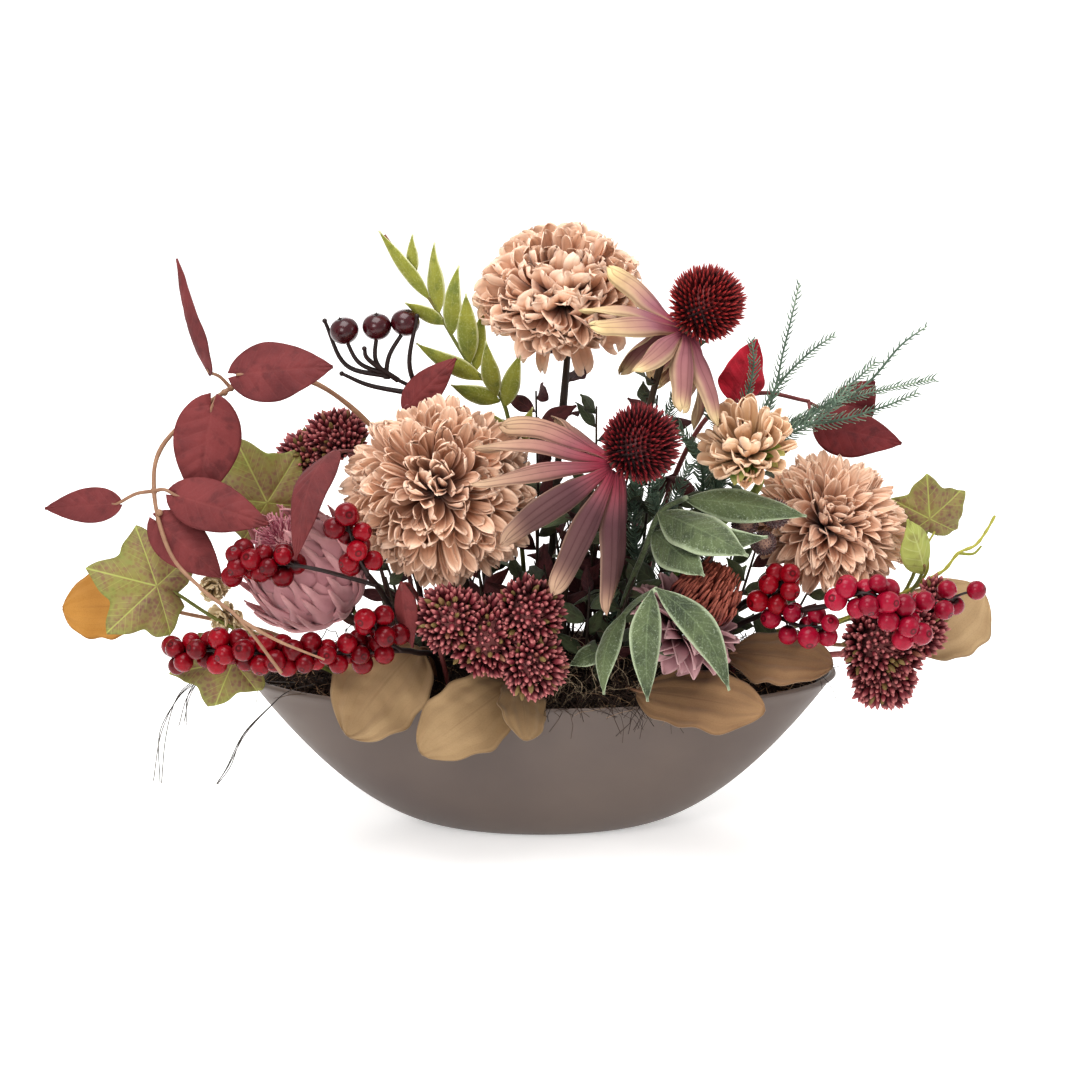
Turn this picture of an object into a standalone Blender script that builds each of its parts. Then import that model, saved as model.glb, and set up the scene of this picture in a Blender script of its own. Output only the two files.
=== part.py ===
"""Table centrepiece: artificial autumn flowers, leaves and berries standing in an oval bowl.

Lengths below are in millimetres and become metres in mm(). +Z is up, +X runs along the bowl and
-Y is the side that faces the room. The origin is the centre of the foot's underside.
"""

import math

import bpy
import bmesh
from mathutils import Matrix, Vector

# Driving dimensions, in millimetres
UNIT = 0.001
GAP = 0.35  # clearance round every stem, and between a leaf and its petiole
FOOT_HALF = 47.0  # half length of the foot
RIM_HALF = 150.0  # half length of the rim
BOWL_HEIGHT = 82.0
BOWL_RATIO = 0.43  # width over length, at every height
BOWL_FLARE = 0.55  # exponent of the wall's curve: low is a wall that spreads early
BOWL_WALL = 4.0
FOAM_TOP = 66.0
MOSS_TOP = 90.0
FOAM_ROOT = 42.0  # depth at which a heavy stem ends, in the foam
MOSS_ROOT = 71.0  # depth at which a light stalk ends, in the moss
LEAF_THICKNESS = 0.9
BERRY_RADIUS = 5.6

COLOURS = {
    "bowl": (0.19, 0.15, 0.13),
    "foam": (0.10, 0.17, 0.09),
    "moss": (0.04, 0.03, 0.02),
    "stem": (0.05, 0.04, 0.02),
    "blush": (0.72, 0.44, 0.33),
    "mauve": (0.42, 0.14, 0.17),
    "cone": (0.20, 0.02, 0.02),
    "protea": (0.40, 0.20, 0.22),
    "stamen": (0.30, 0.09, 0.07),
    "sedum": (0.22, 0.05, 0.08),
    "berry": (0.50, 0.02, 0.04),
    "dark_berry": (0.07, 0.01, 0.02),
    "burgundy": (0.24, 0.05, 0.06),
    "ivy": (0.24, 0.26, 0.06),
    "tan": (0.42, 0.27, 0.13),
    "sage": (0.20, 0.26, 0.17),
    "lime": (0.33, 0.40, 0.10),
    "fern": (0.14, 0.18, 0.12),
    "pod": (0.14, 0.06, 0.06),
}

for leftover in list(bpy.data.objects):
    bpy.data.objects.remove(leftover, do_unlink=True)
centrepiece = bpy.data.collections.new("floral_centrepiece")
cutters = bpy.data.collections.new("cutters")
bpy.context.scene.collection.children.link(centrepiece)
bpy.context.scene.collection.children.link(cutters)


# ---------------------------------------------------------------- helpers

def mm(x, y, z):
    return Vector((x, y, z)) * UNIT


def finish(name, roughness=0.7):
    """The Principled material of one of COLOURS, made once."""
    material = bpy.data.materials.get(name)
    if material is None:
        material = bpy.data.materials.new(name)
        material.use_nodes = True
        shader = material.node_tree.nodes["Principled BSDF"]
        shader.inputs["Base Color"].default_value = (*COLOURS[name], 1.0)
        shader.inputs["Roughness"].default_value = roughness
        shader.inputs["Metallic"].default_value = 0.0
    return material


def add_object(name, data, collection):
    made = bpy.data.objects.new(name, data)
    collection.objects.link(made)
    return made


def as_helper(obj):
    """Keeps obj as a cutter or a piece that is joined to another, and not as a node."""
    for holder in list(obj.users_collection):
        holder.objects.unlink(obj)
    cutters.objects.link(obj)
    obj.hide_render = True
    obj.display_type = "WIRE"
    return obj


def welded_copy(obj):
    """obj with its modifiers and caps made one plain mesh, under the same name."""
    bpy.context.view_layer.update()
    graph = bpy.context.evaluated_depsgraph_get()
    mesh = bpy.data.meshes.new_from_object(obj.evaluated_get(graph))
    working = bmesh.new()
    working.from_mesh(mesh)
    bmesh.ops.remove_doubles(working, verts=working.verts, dist=0.00001)
    bmesh.ops.recalc_face_normals(working, faces=working.faces)
    working.to_mesh(mesh)
    working.free()
    name, world, holder = obj.name, obj.matrix_world.copy(), obj.users_collection[0]
    hidden = obj.hide_render
    bpy.data.objects.remove(obj, do_unlink=True)
    made = add_object(name, mesh, holder)
    made.matrix_world = world
    made.hide_render = hidden
    return made


def dress(obj, colour, roughness=0.7, sharp_above=40):
    obj.data.materials.clear()
    obj.data.materials.append(finish(colour, roughness))
    obj.data.shade_smooth()
    obj.data.set_sharp_from_angle(angle=math.radians(sharp_above))
    return obj


def combine(target, operation, others):
    """Joins others to target, or cuts them from it, and keeps them as helpers."""
    for other in others:
        as_helper(other)
        step = target.modifiers.new(operation.lower(), "BOOLEAN")
        step.operation = operation
        step.object = other
        step.solver = "EXACT"
    return target


def smooth_route(points, steps=3):
    """A Catmull-Rom curve through points, with steps stretches between each two."""
    ends = [points[0] * 2 - points[1], *points, points[-1] * 2 - points[-2]]
    route = []
    for a, b, c, d in zip(ends, ends[1:], ends[2:], ends[3:]):
        for k in range(steps):
            t = k / steps
            route.append(0.5 * (2 * b + (c - a) * t + (2 * a - 5 * b + 4 * c - d) * t * t
                                + (3 * b - a - 3 * c + d) * t ** 3))
    return route + [points[-1]]


def rod(name, route, radius, end_radius=None, sides=6):
    """A round tube along route, in metres, tapering to end_radius. Both radii are in millimetres."""
    curve = bpy.data.curves.new(name, "CURVE")
    curve.dimensions = "3D"
    curve.bevel_depth = radius * UNIT
    curve.bevel_resolution = (sides - 4) // 2
    curve.use_fill_caps = True
    spline = curve.splines.new("POLY")
    spline.points.add(len(route) - 1)
    share = (end_radius or radius) / radius
    for k, (knot, place) in enumerate(zip(spline.points, route)):
        knot.co = (*place, 1.0)
        knot.radius = 1 + (share - 1) * k / (len(route) - 1)
    return welded_copy(add_object(name, curve, centrepiece))


def bore_for(name, route, radius, sides=6):
    """A cutter that leaves GAP round a rod of this route and radius, and past both its ends."""
    first = (route[0] - route[1]).normalized() * GAP * UNIT
    last = (route[-1] - route[-2]).normalized() * GAP * UNIT
    longer = [route[0] + first, *route[1:-1], route[-1] + last]
    return as_helper(rod(f"{name}_bore", longer, radius + GAP, sides=sides))


def turned(name, profile, steps, ratio):
    """Spins a profile of (radius, height) round Z, then narrows it along Y by ratio."""
    mesh = bpy.data.meshes.new(name)
    points = [mm(r, 0, z) for r, z in profile]
    mesh.from_pydata(points, [(k, k + 1) for k in range(len(points) - 1)], [])
    obj = add_object(name, mesh, centrepiece)
    screw = obj.modifiers.new("spin", "SCREW")
    screw.steps = steps
    screw.render_steps = steps
    screw.use_merge_vertices = True
    screw.merge_threshold = 0.00002
    obj = welded_copy(obj)
    obj.data.transform(Matrix.Diagonal((1, ratio, 1, 1)))
    return obj


def place(obj, centre, axis):
    """Puts obj at centre, in metres, with its own +Z along axis."""
    obj.location = centre
    obj.rotation_mode = "QUATERNION"
    obj.rotation_quaternion = axis.to_track_quat("Z", "Y")
    return obj


def studded(name, centre, axis, radius, front, back, segments, rings, relief):
    """A flower head: a flattened ball whose points stand out and in by relief, like packed petals."""
    working = bmesh.new()
    bmesh.ops.create_uvsphere(working, u_segments=segments, v_segments=rings, radius=1.0)
    for vertex in working.verts:
        x, y, z = vertex.co
        turn = round(math.atan2(y, x) / (2 * math.pi / segments))
        ring = round(math.acos(max(-1, min(1, z))) / (math.pi / rings))
        swell = 1.0
        if 0 < ring < rings:
            swell += relief if (turn + ring) % 2 else -relief
        vertex.co = mm(x * radius, y * radius, z * (front if z > 0 else back)) * swell
    mesh = bpy.data.meshes.new(name)
    working.to_mesh(mesh)
    working.free()
    return place(add_object(name, mesh, centrepiece), centre, axis)


# ---------------------------------------------------------------- bowl, foam and moss

def bowl_radius(height):
    return FOOT_HALF + (RIM_HALF - FOOT_HALF) * (height / BOWL_HEIGHT) ** BOWL_FLARE


def make_bowl():
    heights = [BOWL_HEIGHT * share for share in (1, 0.75, 0.5, 0.28, 0.12, 0.03)]
    profile = [(bowl_radius(z), z) for z in heights] + [(FOOT_HALF, 0), (0, 0)]
    bowl = turned("bowl", profile, 36, BOWL_RATIO)
    wall = bowl.modifiers.new("wall", "SOLIDIFY")
    wall.thickness = BOWL_WALL * UNIT
    wall.offset = -1
    return dress(welded_copy(bowl), "bowl", 0.55, 30)


def make_foam():
    """Foam carved to the bowl, a little clear of its wall, standing on its floor."""
    profile = [(0, FOAM_TOP), (129, FOAM_TOP), (106, 40), (78, 18), (44, BOWL_WALL + GAP), (0, BOWL_WALL + GAP)]
    return dress(turned("foam_block", profile, 20, 0.398), "foam", 0.95)


def make_moss():
    """A low mound of dark root fibre that covers the foam up to the rim."""
    low = FOAM_TOP + GAP
    profile = [(0, MOSS_TOP), (70, MOSS_TOP - 2), (118, MOSS_TOP - 8), (137.5, 76), (131, low), (0, low)]
    return dress(turned("moss_mat", profile, 22, 0.405), "moss", 0.95)


foam = make_foam()
moss = make_moss()
make_bowl()


def plant(name, route, radius, foam_too, sides=6):
    """Bores the moss, and the foam under it, for a stem that ends in them."""
    root_part = [p for p in route if p.z < (MOSS_TOP + 6) * UNIT]
    above = route[len(root_part):len(root_part) + 1]
    bore = bore_for(name, root_part + above, radius, sides)
    combine(moss, "DIFFERENCE", [bore])
    if foam_too:
        combine(foam, "DIFFERENCE", [bore])


# ---------------------------------------------------------------- stems and flower heads

def flower_stem(name, root, centre, axis, seat, radius=1.9, lean=None, colour="stem"):
    """A stem from the foam to seat millimetres along axis from the head's centre. Returns its route."""
    x, y = root
    end = centre + axis * seat * UNIT
    approach = end - axis * 26 * UNIT
    points = [mm(x, y, FOAM_ROOT), mm(x, y, MOSS_TOP + 4)]
    points += [mm(*p) for p in (lean or [])]
    route = smooth_route(points + [approach, end], 2)
    dress(rod(name, route, radius), colour)
    plant(name, route, radius, True)
    return route


def socket(head, stem_name, route, radius=1.9):
    """Bores the head for the top of its stem."""
    return combine(head, "DIFFERENCE", [bore_for(f"{stem_name}_top", route[-4:], radius)])


MUM = {"front": 0.50, "back": 0.42, "seat": -0.18, "relief": 0.07}  # shares of the head's radius


def make_mum(name, root, centre, axis, radius, lean):
    centre, axis = mm(*centre), Vector(axis).normalized()
    route = flower_stem(f"{name}_stem", root, centre, axis, MUM["seat"] * radius, lean=lean)
    head = studded(f"{name}_head", centre, axis, radius, MUM["front"] * radius,
                   MUM["back"] * radius, 20, 9, MUM["relief"])
    dress(socket(head, name, route), "blush")


def petal_ring(name, centre, axis, hub, petals, length, width, droop, bent):
    """Drooping petals round a hub disc, as one sheet: droop gives each row's slope in degrees, and
    bent how much further the petals of these numbers droop."""
    working = bmesh.new()
    middle = working.verts.new((0, 0, 0))
    pitch = 2 * math.pi / petals
    rims = []
    for k in range(petals):
        turn = (k + 0.5) * pitch
        out = Vector((math.cos(turn), math.sin(turn), 0))
        across = Vector((-out.y, out.x, 0))
        half = hub * math.sin(pitch * 0.36)
        reach, drop = hub * math.cos(pitch * 0.36), 0.0
        row = [working.verts.new(mm(*(out * reach + across * side * half))) for side in (-1, 1)]
        rims.append(row)
        for share, slope in zip((1.0, 0.95, 0.25), droop):
            slope = math.radians(slope + bent.get(k, 0))
            reach += length / 3 * math.cos(slope)
            drop += length / 3 * math.sin(slope)
            spot = out * reach - Vector((0, 0, drop))
            new = [working.verts.new(mm(*(spot + across * side * width / 2 * share))) for side in (-1, 1)]
            working.faces.new((row[0], new[0], new[1], row[1]))
            row = new
    for k, (low, high) in enumerate(rims):
        following = rims[(k + 1) % petals][0]
        working.faces.new((middle, low, high))
        working.faces.new((middle, high, following))
    mesh = bpy.data.meshes.new(name)
    working.to_mesh(mesh)
    working.free()
    obj = place(add_object(name, mesh, centrepiece), centre, axis)
    sheet = obj.modifiers.new("thickness", "SOLIDIFY")
    sheet.thickness = LEAF_THICKNESS * UNIT
    sheet.offset = 0
    return welded_copy(obj)


CONEFLOWER = {"cone": 18.6, "cone_back": 16.2, "hub": 9.0, "petals": 11, "width": 13.0}
CONE_LIFT = CONEFLOWER["cone_back"] + LEAF_THICKNESS / 2 + GAP


def make_coneflower(name, root, centre, axis, length, droop, bent, lean=None):
    """The centre is where the petals meet; the cone stands on them along axis."""
    centre, axis = mm(*centre), Vector(axis).normalized()
    route = flower_stem(f"{name}_stem", root, centre, axis, 8.0, lean=lean)
    petals = petal_ring(f"{name}_petals", centre, axis, CONEFLOWER["hub"], CONEFLOWER["petals"],
                        length, CONEFLOWER["width"], droop, bent)
    dress(socket(petals, f"{name}_petal", route), "mauve", 0.8)
    cone = studded(f"{name}_cone", centre + axis * CONE_LIFT * UNIT, axis, CONEFLOWER["cone"],
                   CONEFLOWER["cone"], CONEFLOWER["cone_back"], 16, 9, 0.07)
    dress(socket(cone, f"{name}_cone", route), "cone", 0.6)


def make_closed_flower(name, root, centre, axis, radius, front, back, segments, rings, relief,
                       colour, stem_radius, lean):
    """A bud or a closed bloom that is moulded in one piece with its stem."""
    centre, axis = mm(*centre), Vector(axis).normalized()
    flower_stem(name, root, centre, axis, 0, radius=stem_radius, lean=lean, colour=colour)
    head = studded(f"{name}_head", centre, axis, radius, front, back, segments, rings, relief)
    dress(combine(bpy.data.objects[name], "UNION", [head]), colour)


PROTEA_STEM = 2.3
TUFT = {"lift": 20.5, "radius": 14.5, "front": 17.0, "back": 8.0}  # lift: from the bracts' centre


def make_open_protea(name, root, centre, axis, radius, front, back):
    """A ring of pointed bracts with a tuft of stamens standing out of it, both on one stem."""
    centre, axis = mm(*centre), Vector(axis).normalized()
    route = flower_stem(f"{name}_stem", root, centre, axis, TUFT["lift"] - 1.5, radius=PROTEA_STEM)
    bracts = studded(f"{name}_bracts", centre, axis, radius, front, back, 16, 8, 0.13)
    bore = bore_for(f"{name}_bracts", route[-5:], PROTEA_STEM)
    dress(combine(bracts, "DIFFERENCE", [bore]), "protea")
    tuft = studded(f"{name}_stamens", centre + axis * TUFT["lift"] * UNIT, axis, TUFT["radius"],
                   TUFT["front"], TUFT["back"], 14, 7, 0.08)
    dress(socket(tuft, f"{name}_tuft", route, PROTEA_STEM), "stamen")


make_mum("mum_left", (-34, -14), (-48, -42, 186), (0.16, -0.86, 0.44), 44.5, lean=[(-38, -10, 135)])
make_mum("mum_top", (4, 6), (10.5, 20, 271), (-0.12, -0.62, 0.78), 40, lean=[(8, 16, 170)])
make_mum("mum_right", (74, 2), (142, -15, 162), (0.12, -0.62, 0.78), 39, lean=[(104, 10, 112)])
make_closed_flower("mum_bud", (54, -14), (98.5, -46, 206), (-0.2, -0.6, 0.77), 20, 17, 15, 14, 7, 0.08,
                   "blush", 1.9, [(70, -12, 140)])
make_coneflower("coneflower_front", (12, -22), (35, -70, 203.5), (0.65, -0.357, 0.676), 66,
                (28, 40, 48), {8: 14, 9: 20, 10: 12}, lean=[(12, -26, 130)])
make_coneflower("coneflower_top", (40, 4), (68.7, -31, 260), (0.56, -0.244, 0.79), 48,
                (8, 22, 36), {0: 45, 1: 55, 2: -8, 3: 6, 8: 30, 9: 40, 10: 45}, lean=[(44, 4, 160)])
make_closed_flower("protea_left", (-74, -12), (-110, -43, 142), (-0.45, -0.5, 0.74), 29, 32, 24, 16, 9, 0.13,
                   "protea", PROTEA_STEM, [(-82, -16, 108)])
make_open_protea("protea_right", (46, -30), (70, -58, 124), (0.46, -0.35, 0.82), 27, 12, 21)


# ---------------------------------------------------------------- clusters: sedum, berries, pods

def stalk(name, points, radius, end_radius=None, foam_too=False, steps=3, sides=6):
    """A stalk through points, in millimetres, planted in the moss or the foam at its first point."""
    route = smooth_route([mm(*p) for p in points], steps)
    made = rod(name, route, radius, end_radius, sides)
    plant(name, route, radius, foam_too, sides)
    return made


def branch(name, points, radius, end_radius=None, steps=2):
    return rod(name, smooth_route([mm(*p) for p in points], steps), radius, end_radius)


def make_sedum(name, stem_points, umbels):
    """Domed flower clusters on one stem. Each umbel is (centre, radius, axis)."""
    stem = stalk(name, stem_points, 1.6, foam_too=True, steps=2)
    parts = []
    for k, (centre, radius, axis) in enumerate(umbels):
        parts.append(studded(f"{name}_umbel_{k}", mm(*centre), Vector(axis).normalized(), radius,
                             0.85 * radius, 0.55 * radius, 12, 6, 0.06))
        if k:
            start = Vector(umbels[0][0]).lerp(Vector(centre), 0.2)
            parts.append(branch(f"{name}_arm_{k}", [start, centre], 1.5, steps=1))
    dress(combine(stem, "UNION", parts), "sedum")


def berry(name, centre, radius=BERRY_RADIUS, detail=1):
    working = bmesh.new()
    bmesh.ops.create_icosphere(working, subdivisions=detail, radius=radius * UNIT)
    mesh = bpy.data.meshes.new(name)
    working.to_mesh(mesh)
    working.free()
    made = add_object(name, mesh, centrepiece)
    made.location = centre
    return made


def berries_along(name, route, count, offset):
    """Berries spiralling round a twig by the golden angle, each touching it."""
    parts = []
    for k in range(count):
        along = (len(route) - 1) * (k + 0.5) / count
        low = min(int(along), len(route) - 2)
        spot = route[low].lerp(route[low + 1], along - low)
        ahead = (route[low + 1] - route[low]).normalized()
        side = ahead.cross(Vector((0, 0, 1))).normalized()
        over = side.cross(ahead)
        turn = k * math.radians(137.5)
        centre = spot + (side * math.cos(turn) + over * math.sin(turn)) * offset * UNIT
        parts.append(berry(f"{name}_berry_{k}", centre))
    return parts


def make_berry_spray(name, stem_points, twigs):
    """A dark stem with berry-covered twigs. Each twig is (points, berries); it starts on the stem."""
    stem = stalk(name, stem_points, 1.5, foam_too=True, steps=2)
    parts = []
    for k, (points, count) in enumerate(twigs):
        route = smooth_route([mm(*p) for p in points], 3)
        parts.append(rod(f"{name}_twig_{k}", route, 1.3, 0.9))
        parts += berries_along(f"{name}_{k}", route[1:], count, 4.9)
    dress(combine(stem, "UNION", parts), "berry", 0.35)


def make_dark_berries():
    """A forked black twig whose three tips carry large glossy berries."""
    stem = stalk("dark_berry_branch", [(-38, 16, MOSS_ROOT), (-40, 16, 150), (-54, 8, 214), (-76, 5, 233)],
                 1.5, steps=2)
    fork = (-76, 5, 233)
    tips = [(-96, 5, 251), (-80, 5, 253), (-66, 5, 255)]
    parts = [branch(f"dark_twig_{k}", [(-75 - 0.6 * k, 5.3, 232 - k), ((fork[0] + x) / 2 - 3, y, z - 13), (x, y, z)],
                    1.3, 1.0) for k, (x, y, z) in enumerate(tips)]
    parts.append(branch("dark_twig_bare_low", [(-54.6, 7.8, 214), (-64, 2, 236), (-60, 0, 262)], 1.2, 0.8))
    parts.append(branch("dark_twig_bare_left", [(-74, 5.6, 231), (-96, 10, 236), (-106, 10, 258)], 1.2, 0.8))
    parts += [berry(f"dark_berry_{k}", mm(x, y, z + 3), 7.2, 2) for k, (x, y, z) in enumerate(tips)]
    dress(combine(stem, "UNION", parts), "dark_berry", 0.2)


make_sedum("sedum_front", [(-14, -30, FOAM_ROOT), (-14, -34, 92), (-19, -52, 108), (-23, -71, 119)],
           [((-25, -73.5, 121.3), 18, (0.1, -0.9, 0.35)), ((-43, -75, 131), 15.5, (-0.3, -0.8, 0.5)),
            ((-5, -74, 133), 16, (0.4, -0.8, 0.4)), ((-3, -80, 109), 15, (0.4, -0.8, -0.2))])
make_sedum("sedum_left", [(-60, 18, FOAM_ROOT), (-62, 20, 120), (-84, 18, 170), (-98, 14, 194)],
           [((-102, 12, 198), 16, (-0.3, -0.3, 0.9)), ((-119, 11, 190), 12, (-0.6, -0.3, 0.7)),
            ((-131, 10, 183), 8, (-0.8, -0.3, 0.4))])
make_sedum("sedum_right", [(96, -16, FOAM_ROOT), (98, -18, 92), (128, -32, 98), (162, -48, 106)],
           [((166, -50, 110), 20, (0.3, -0.9, 0.2)), ((182, -46, 118), 15, (0.6, -0.6, 0.5)),
            ((167, -52, 93), 15, (0, -0.7, -0.6)), ((193, -40, 131), 10, (0.6, -0.3, 0.7))])
make_berry_spray("berry_spray_left_low",
                 [(-48, -30, FOAM_ROOT), (-50, -34, 94), (-60, -56, 108), (-70, -78, 116)],
                 [([(-66, -72, 114), (-99, -86, 117), (-124, -88, 117), (-150, -84, 118), (-176, -74, 112)], 23),
                  ([(-66, -72, 114), (-74, -84, 124), (-79, -88, 138)], 4)])
make_berry_spray("berry_spray_left_high",
                 [(-60, -28, FOAM_ROOT), (-64, -32, 100), (-74, -64, 138), (-80, -88, 156)],
                 [([(-80, -88, 156), (-84, -95, 168), (-90, -95, 188)], 7),
                  ([(-77, -78, 148), (-104, -86, 160), (-122, -84, 160), (-144, -80, 160)], 8)])
make_berry_spray("berry_spray_right_front",
                 [(84, -22, FOAM_ROOT), (88, -26, 100), (106, -42, 122), (119, -62, 130), (136, -78, 138)],
                 [([(136, -78, 138), (150, -88, 147), (163, -88, 140), (175, -86, 126)], 11),
                  ([(150, -88, 147), (180, -78, 138), (203, -60, 139)], 6),
                  ([(112, -52, 126), (124, -68, 125), (138, -72, 126)], 4)])
make_berry_spray("berry_spray_right_inner",
                 [(80, -14, FOAM_ROOT), (86, -18, 100), (99, -34, 126), (106, -56, 134)],
                 [([(106, -56, 134), (112, -62, 140), (118, -60, 149)], 6)])
make_dark_berries()


def make_pods():
    stem = stalk("seed_pods", [(66, -10, MOSS_ROOT), (72, -14, 120), (88, -36, 158), (97, -46, 168)], 1.3, steps=2)
    heads = [((98, -47, 170), 6.5), ((112, -52, 176), 7.0), ((107, -50, 161), 6.0)]
    parts = [studded(f"pod_{k}", mm(*spot), Vector((0.1, -0.9, 0.3)), size, size, size, 10, 6, 0.06)
             for k, (spot, size) in enumerate(heads)]
    parts.append(branch("pod_arm_0", [(95, -45, 166), (107, -50, 161)], 1.2, steps=1))
    parts.append(branch("pod_arm_1", [(98, -47, 170), (112, -52, 176)], 1.2, steps=1))
    dress(combine(stem, "UNION", parts), "pod")


make_pods()


# ---------------------------------------------------------------- leaves

def ovate(u):
    return math.sin(math.pi * u ** 0.72) ** 0.8


def rounded(u):
    return math.sin(math.pi * u ** 0.9) ** 0.55


def lance(u):
    return math.sin(math.pi * u ** 0.8)


def blade(name, base, tip, face, width, outline, arch=0.08, cup=0.12, rows=6):
    """A leaf as a thin curved plate. face is the way its upper side looks; arch and cup are shares
    of its length and width by which its middle rises and its sides bend back."""
    base, tip, face = mm(*base), mm(*tip), Vector(face)
    along = tip - base
    side = along.cross(face).normalized()
    up = side.cross(along).normalized()
    working = bmesh.new()
    last = None
    for k in range(rows + 1):
        u = k / rows
        half = max(width / 2 * outline(min(max(u, 0.001), 0.999)), 0.9 if k == 0 else 0.45) * UNIT
        rise = arch * along.length * 4 * u * (1 - u)
        row = [working.verts.new(base + along * u + up * (rise - cup * half * abs(v)) + side * half * v)
               for v in (-1, 0, 1)]
        if last:
            for left in (0, 1):
                working.faces.new((last[left], last[left + 1], row[left + 1], row[left]))
        last = row
    mesh = bpy.data.meshes.new(name)
    working.to_mesh(mesh)
    working.free()
    obj = add_object(name, mesh, centrepiece)
    sheet = obj.modifiers.new("thickness", "SOLIDIFY")
    sheet.thickness = LEAF_THICKNESS * UNIT
    sheet.offset = 0
    return welded_copy(obj)


IVY_LOBES = ((0, 1.0), (28, 0.62), (58, 0.86), (88, 0.55), (122, 0.62), (158, 0.40))  # degrees, share


def ivy_blade(name, base, tip, face, width, arch=0.06):
    """A five-lobed leaf: a fan from the foot of the midrib to a lobed rim, the same on both sides."""
    base, tip, face = mm(*base), mm(*tip), Vector(face)
    along = tip - base
    side = along.cross(face).normalized()
    up = side.cross(along).normalized()
    foot = base + along * 0.28
    stretch = width * UNIT / 2 / (0.86 * math.sin(math.radians(58)))
    right = [(angle, share) for angle, share in IVY_LOBES]
    spokes = right + [(180, 0.30)] + [(-angle, share) for angle, share in reversed(right[1:])]
    working = bmesh.new()
    middle = working.verts.new(foot + up * arch * along.length)
    rings = []
    for level in (0.55, 1.0):
        ring = []
        for angle, share in spokes:
            forward = along * 0.72 * share * math.cos(math.radians(angle)) * level
            outward = side * stretch * share * math.sin(math.radians(angle)) * level
            lift = up * arch * along.length * (1 - level ** 2)
            ring.append(working.verts.new(foot + forward + outward + lift))
        rings.append(ring)
    count = len(spokes)
    for k in range(count):
        n = (k + 1) % count
        working.faces.new((middle, rings[0][n], rings[0][k]))
        working.faces.new((rings[0][k], rings[0][n], rings[1][n], rings[1][k]))
    mesh = bpy.data.meshes.new(name)
    working.to_mesh(mesh)
    working.free()
    obj = add_object(name, mesh, centrepiece)
    sheet = obj.modifiers.new("thickness", "SOLIDIFY")
    sheet.thickness = LEAF_THICKNESS * UNIT
    sheet.offset = 0
    return welded_copy(obj)


def stalked_leaf(name, stalk_points, tip, face, width, outline, colour, arch=0.08, cup=0.12,
                 radius=1.3, ivy=False, second=None):
    """A leaf on its own stalk, which is planted in the moss. The blade starts at the stalk's end.
    second is the (base, tip, face, width) of one more blade on the same stalk."""
    base = Vector(stalk_points[-1])
    start = base + (Vector(tip) - base).normalized() * (-5 if ivy else -1.5)
    if ivy:
        leaf = ivy_blade(name + "_blade", start, tip, face, width)
    else:
        leaf = blade(name + "_blade", start, tip, face, width, outline, arch, cup)
    leaves = [leaf]
    if second:
        leaves.append(blade(name + "_second", *second, outline, arch, cup))
    stem = stalk(name, stalk_points, radius, steps=2)
    dress(combine(stem, "UNION", leaves), colour)


# The vine that climbs out to the left and hangs in front of the berries
VINE = [(-44, 4, MOSS_ROOT), (-50, -2, 130), (-62, -8, 180), (-83, -14, 211), (-107, -24, 233),
        (-128, -32, 238), (-147, -38, 234), (-177, -50, 211), (-182, -60, 189), (-173, -76, 163),
        (-156, -88, 148), (-138, -101, 138), (-119, -107, 114)]
VINE_LEAVES = {  # petiole's start, petiole's end, tip, face, width
    "vine_leaf_top": ((-147, -38, 234), (-157, -39, 242), (-165, -33, 296), (-0.9, -0.45, 0.1), 19),
    "vine_leaf_heart": ((-142, -37, 236), (-142, -51, 243), (-97, -52, 247), (0.1, -0.9, 0.45), 29),
    "vine_leaf_round": ((-150, -39, 232), (-155, -48, 227), (-162, -55, 182), (0.1, -0.97, 0.2), 32),
    "vine_leaf_middle": ((-182, -60, 189), (-172, -63, 188), (-127, -72, 176), (0.0, -0.9, 0.4), 25),
    "vine_leaf_far": ((-182, -60, 189), (-200, -56, 182), (-236, -50, 178), (0, -0.95, 0.3), 17),
    "vine_leaf_low": ((-179, -66, 180), (-180, -66, 176), (-150, -72, 150), (0.25, -0.95, 0.2), 24),
}


def make_vine():
    stem = stalk("vine_stem", VINE, 1.5, 0.9, steps=2)
    petioles = []
    for name, (start, end, tip, face, width) in VINE_LEAVES.items():
        petioles.append(branch(f"{name}_petiole", [start, end], 1.0, 0.8, steps=1))
        base = Vector(end) + (Vector(tip) - Vector(end)).normalized() * 2 * GAP
        arch = 0.12 if name == "vine_leaf_top" else 0.05
        dress(blade(name, base, tip, face, width, ovate, arch=arch), "burgundy")
    petioles.append(branch("vine_second_tail", [(-138, -101, 138), (-120, -108, 130), (-99, -108, 121)], 1.1, 0.7))
    dress(combine(stem, "UNION", petioles), "stem")


make_vine()
stalked_leaf("curled_leaf", [(-58, -2, MOSS_ROOT), (-68, 4, 140), (-86, -14, 192), (-98, -44, 204)],
             (-113, -92, 164), (-0.5, -0.5, 0.7), 17, ovate, "burgundy", arch=0.16)
stalked_leaf("back_leaf", [(-24, 12, MOSS_ROOT), (-32, 14, 150), (-56, 2, 208), (-66, -2, 216)],
             (-41, -4, 242), (-0.3, -0.9, 0.2), 18, ovate, "burgundy")
stalked_leaf("hanging_leaf", [(-42, -34, MOSS_ROOT), (-50, -50, 112), (-60, -66, 142), (-65, -74, 147)],
             (-60, -80, 118), (-0.2, -0.97, 0), 11, lance, "burgundy")

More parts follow.
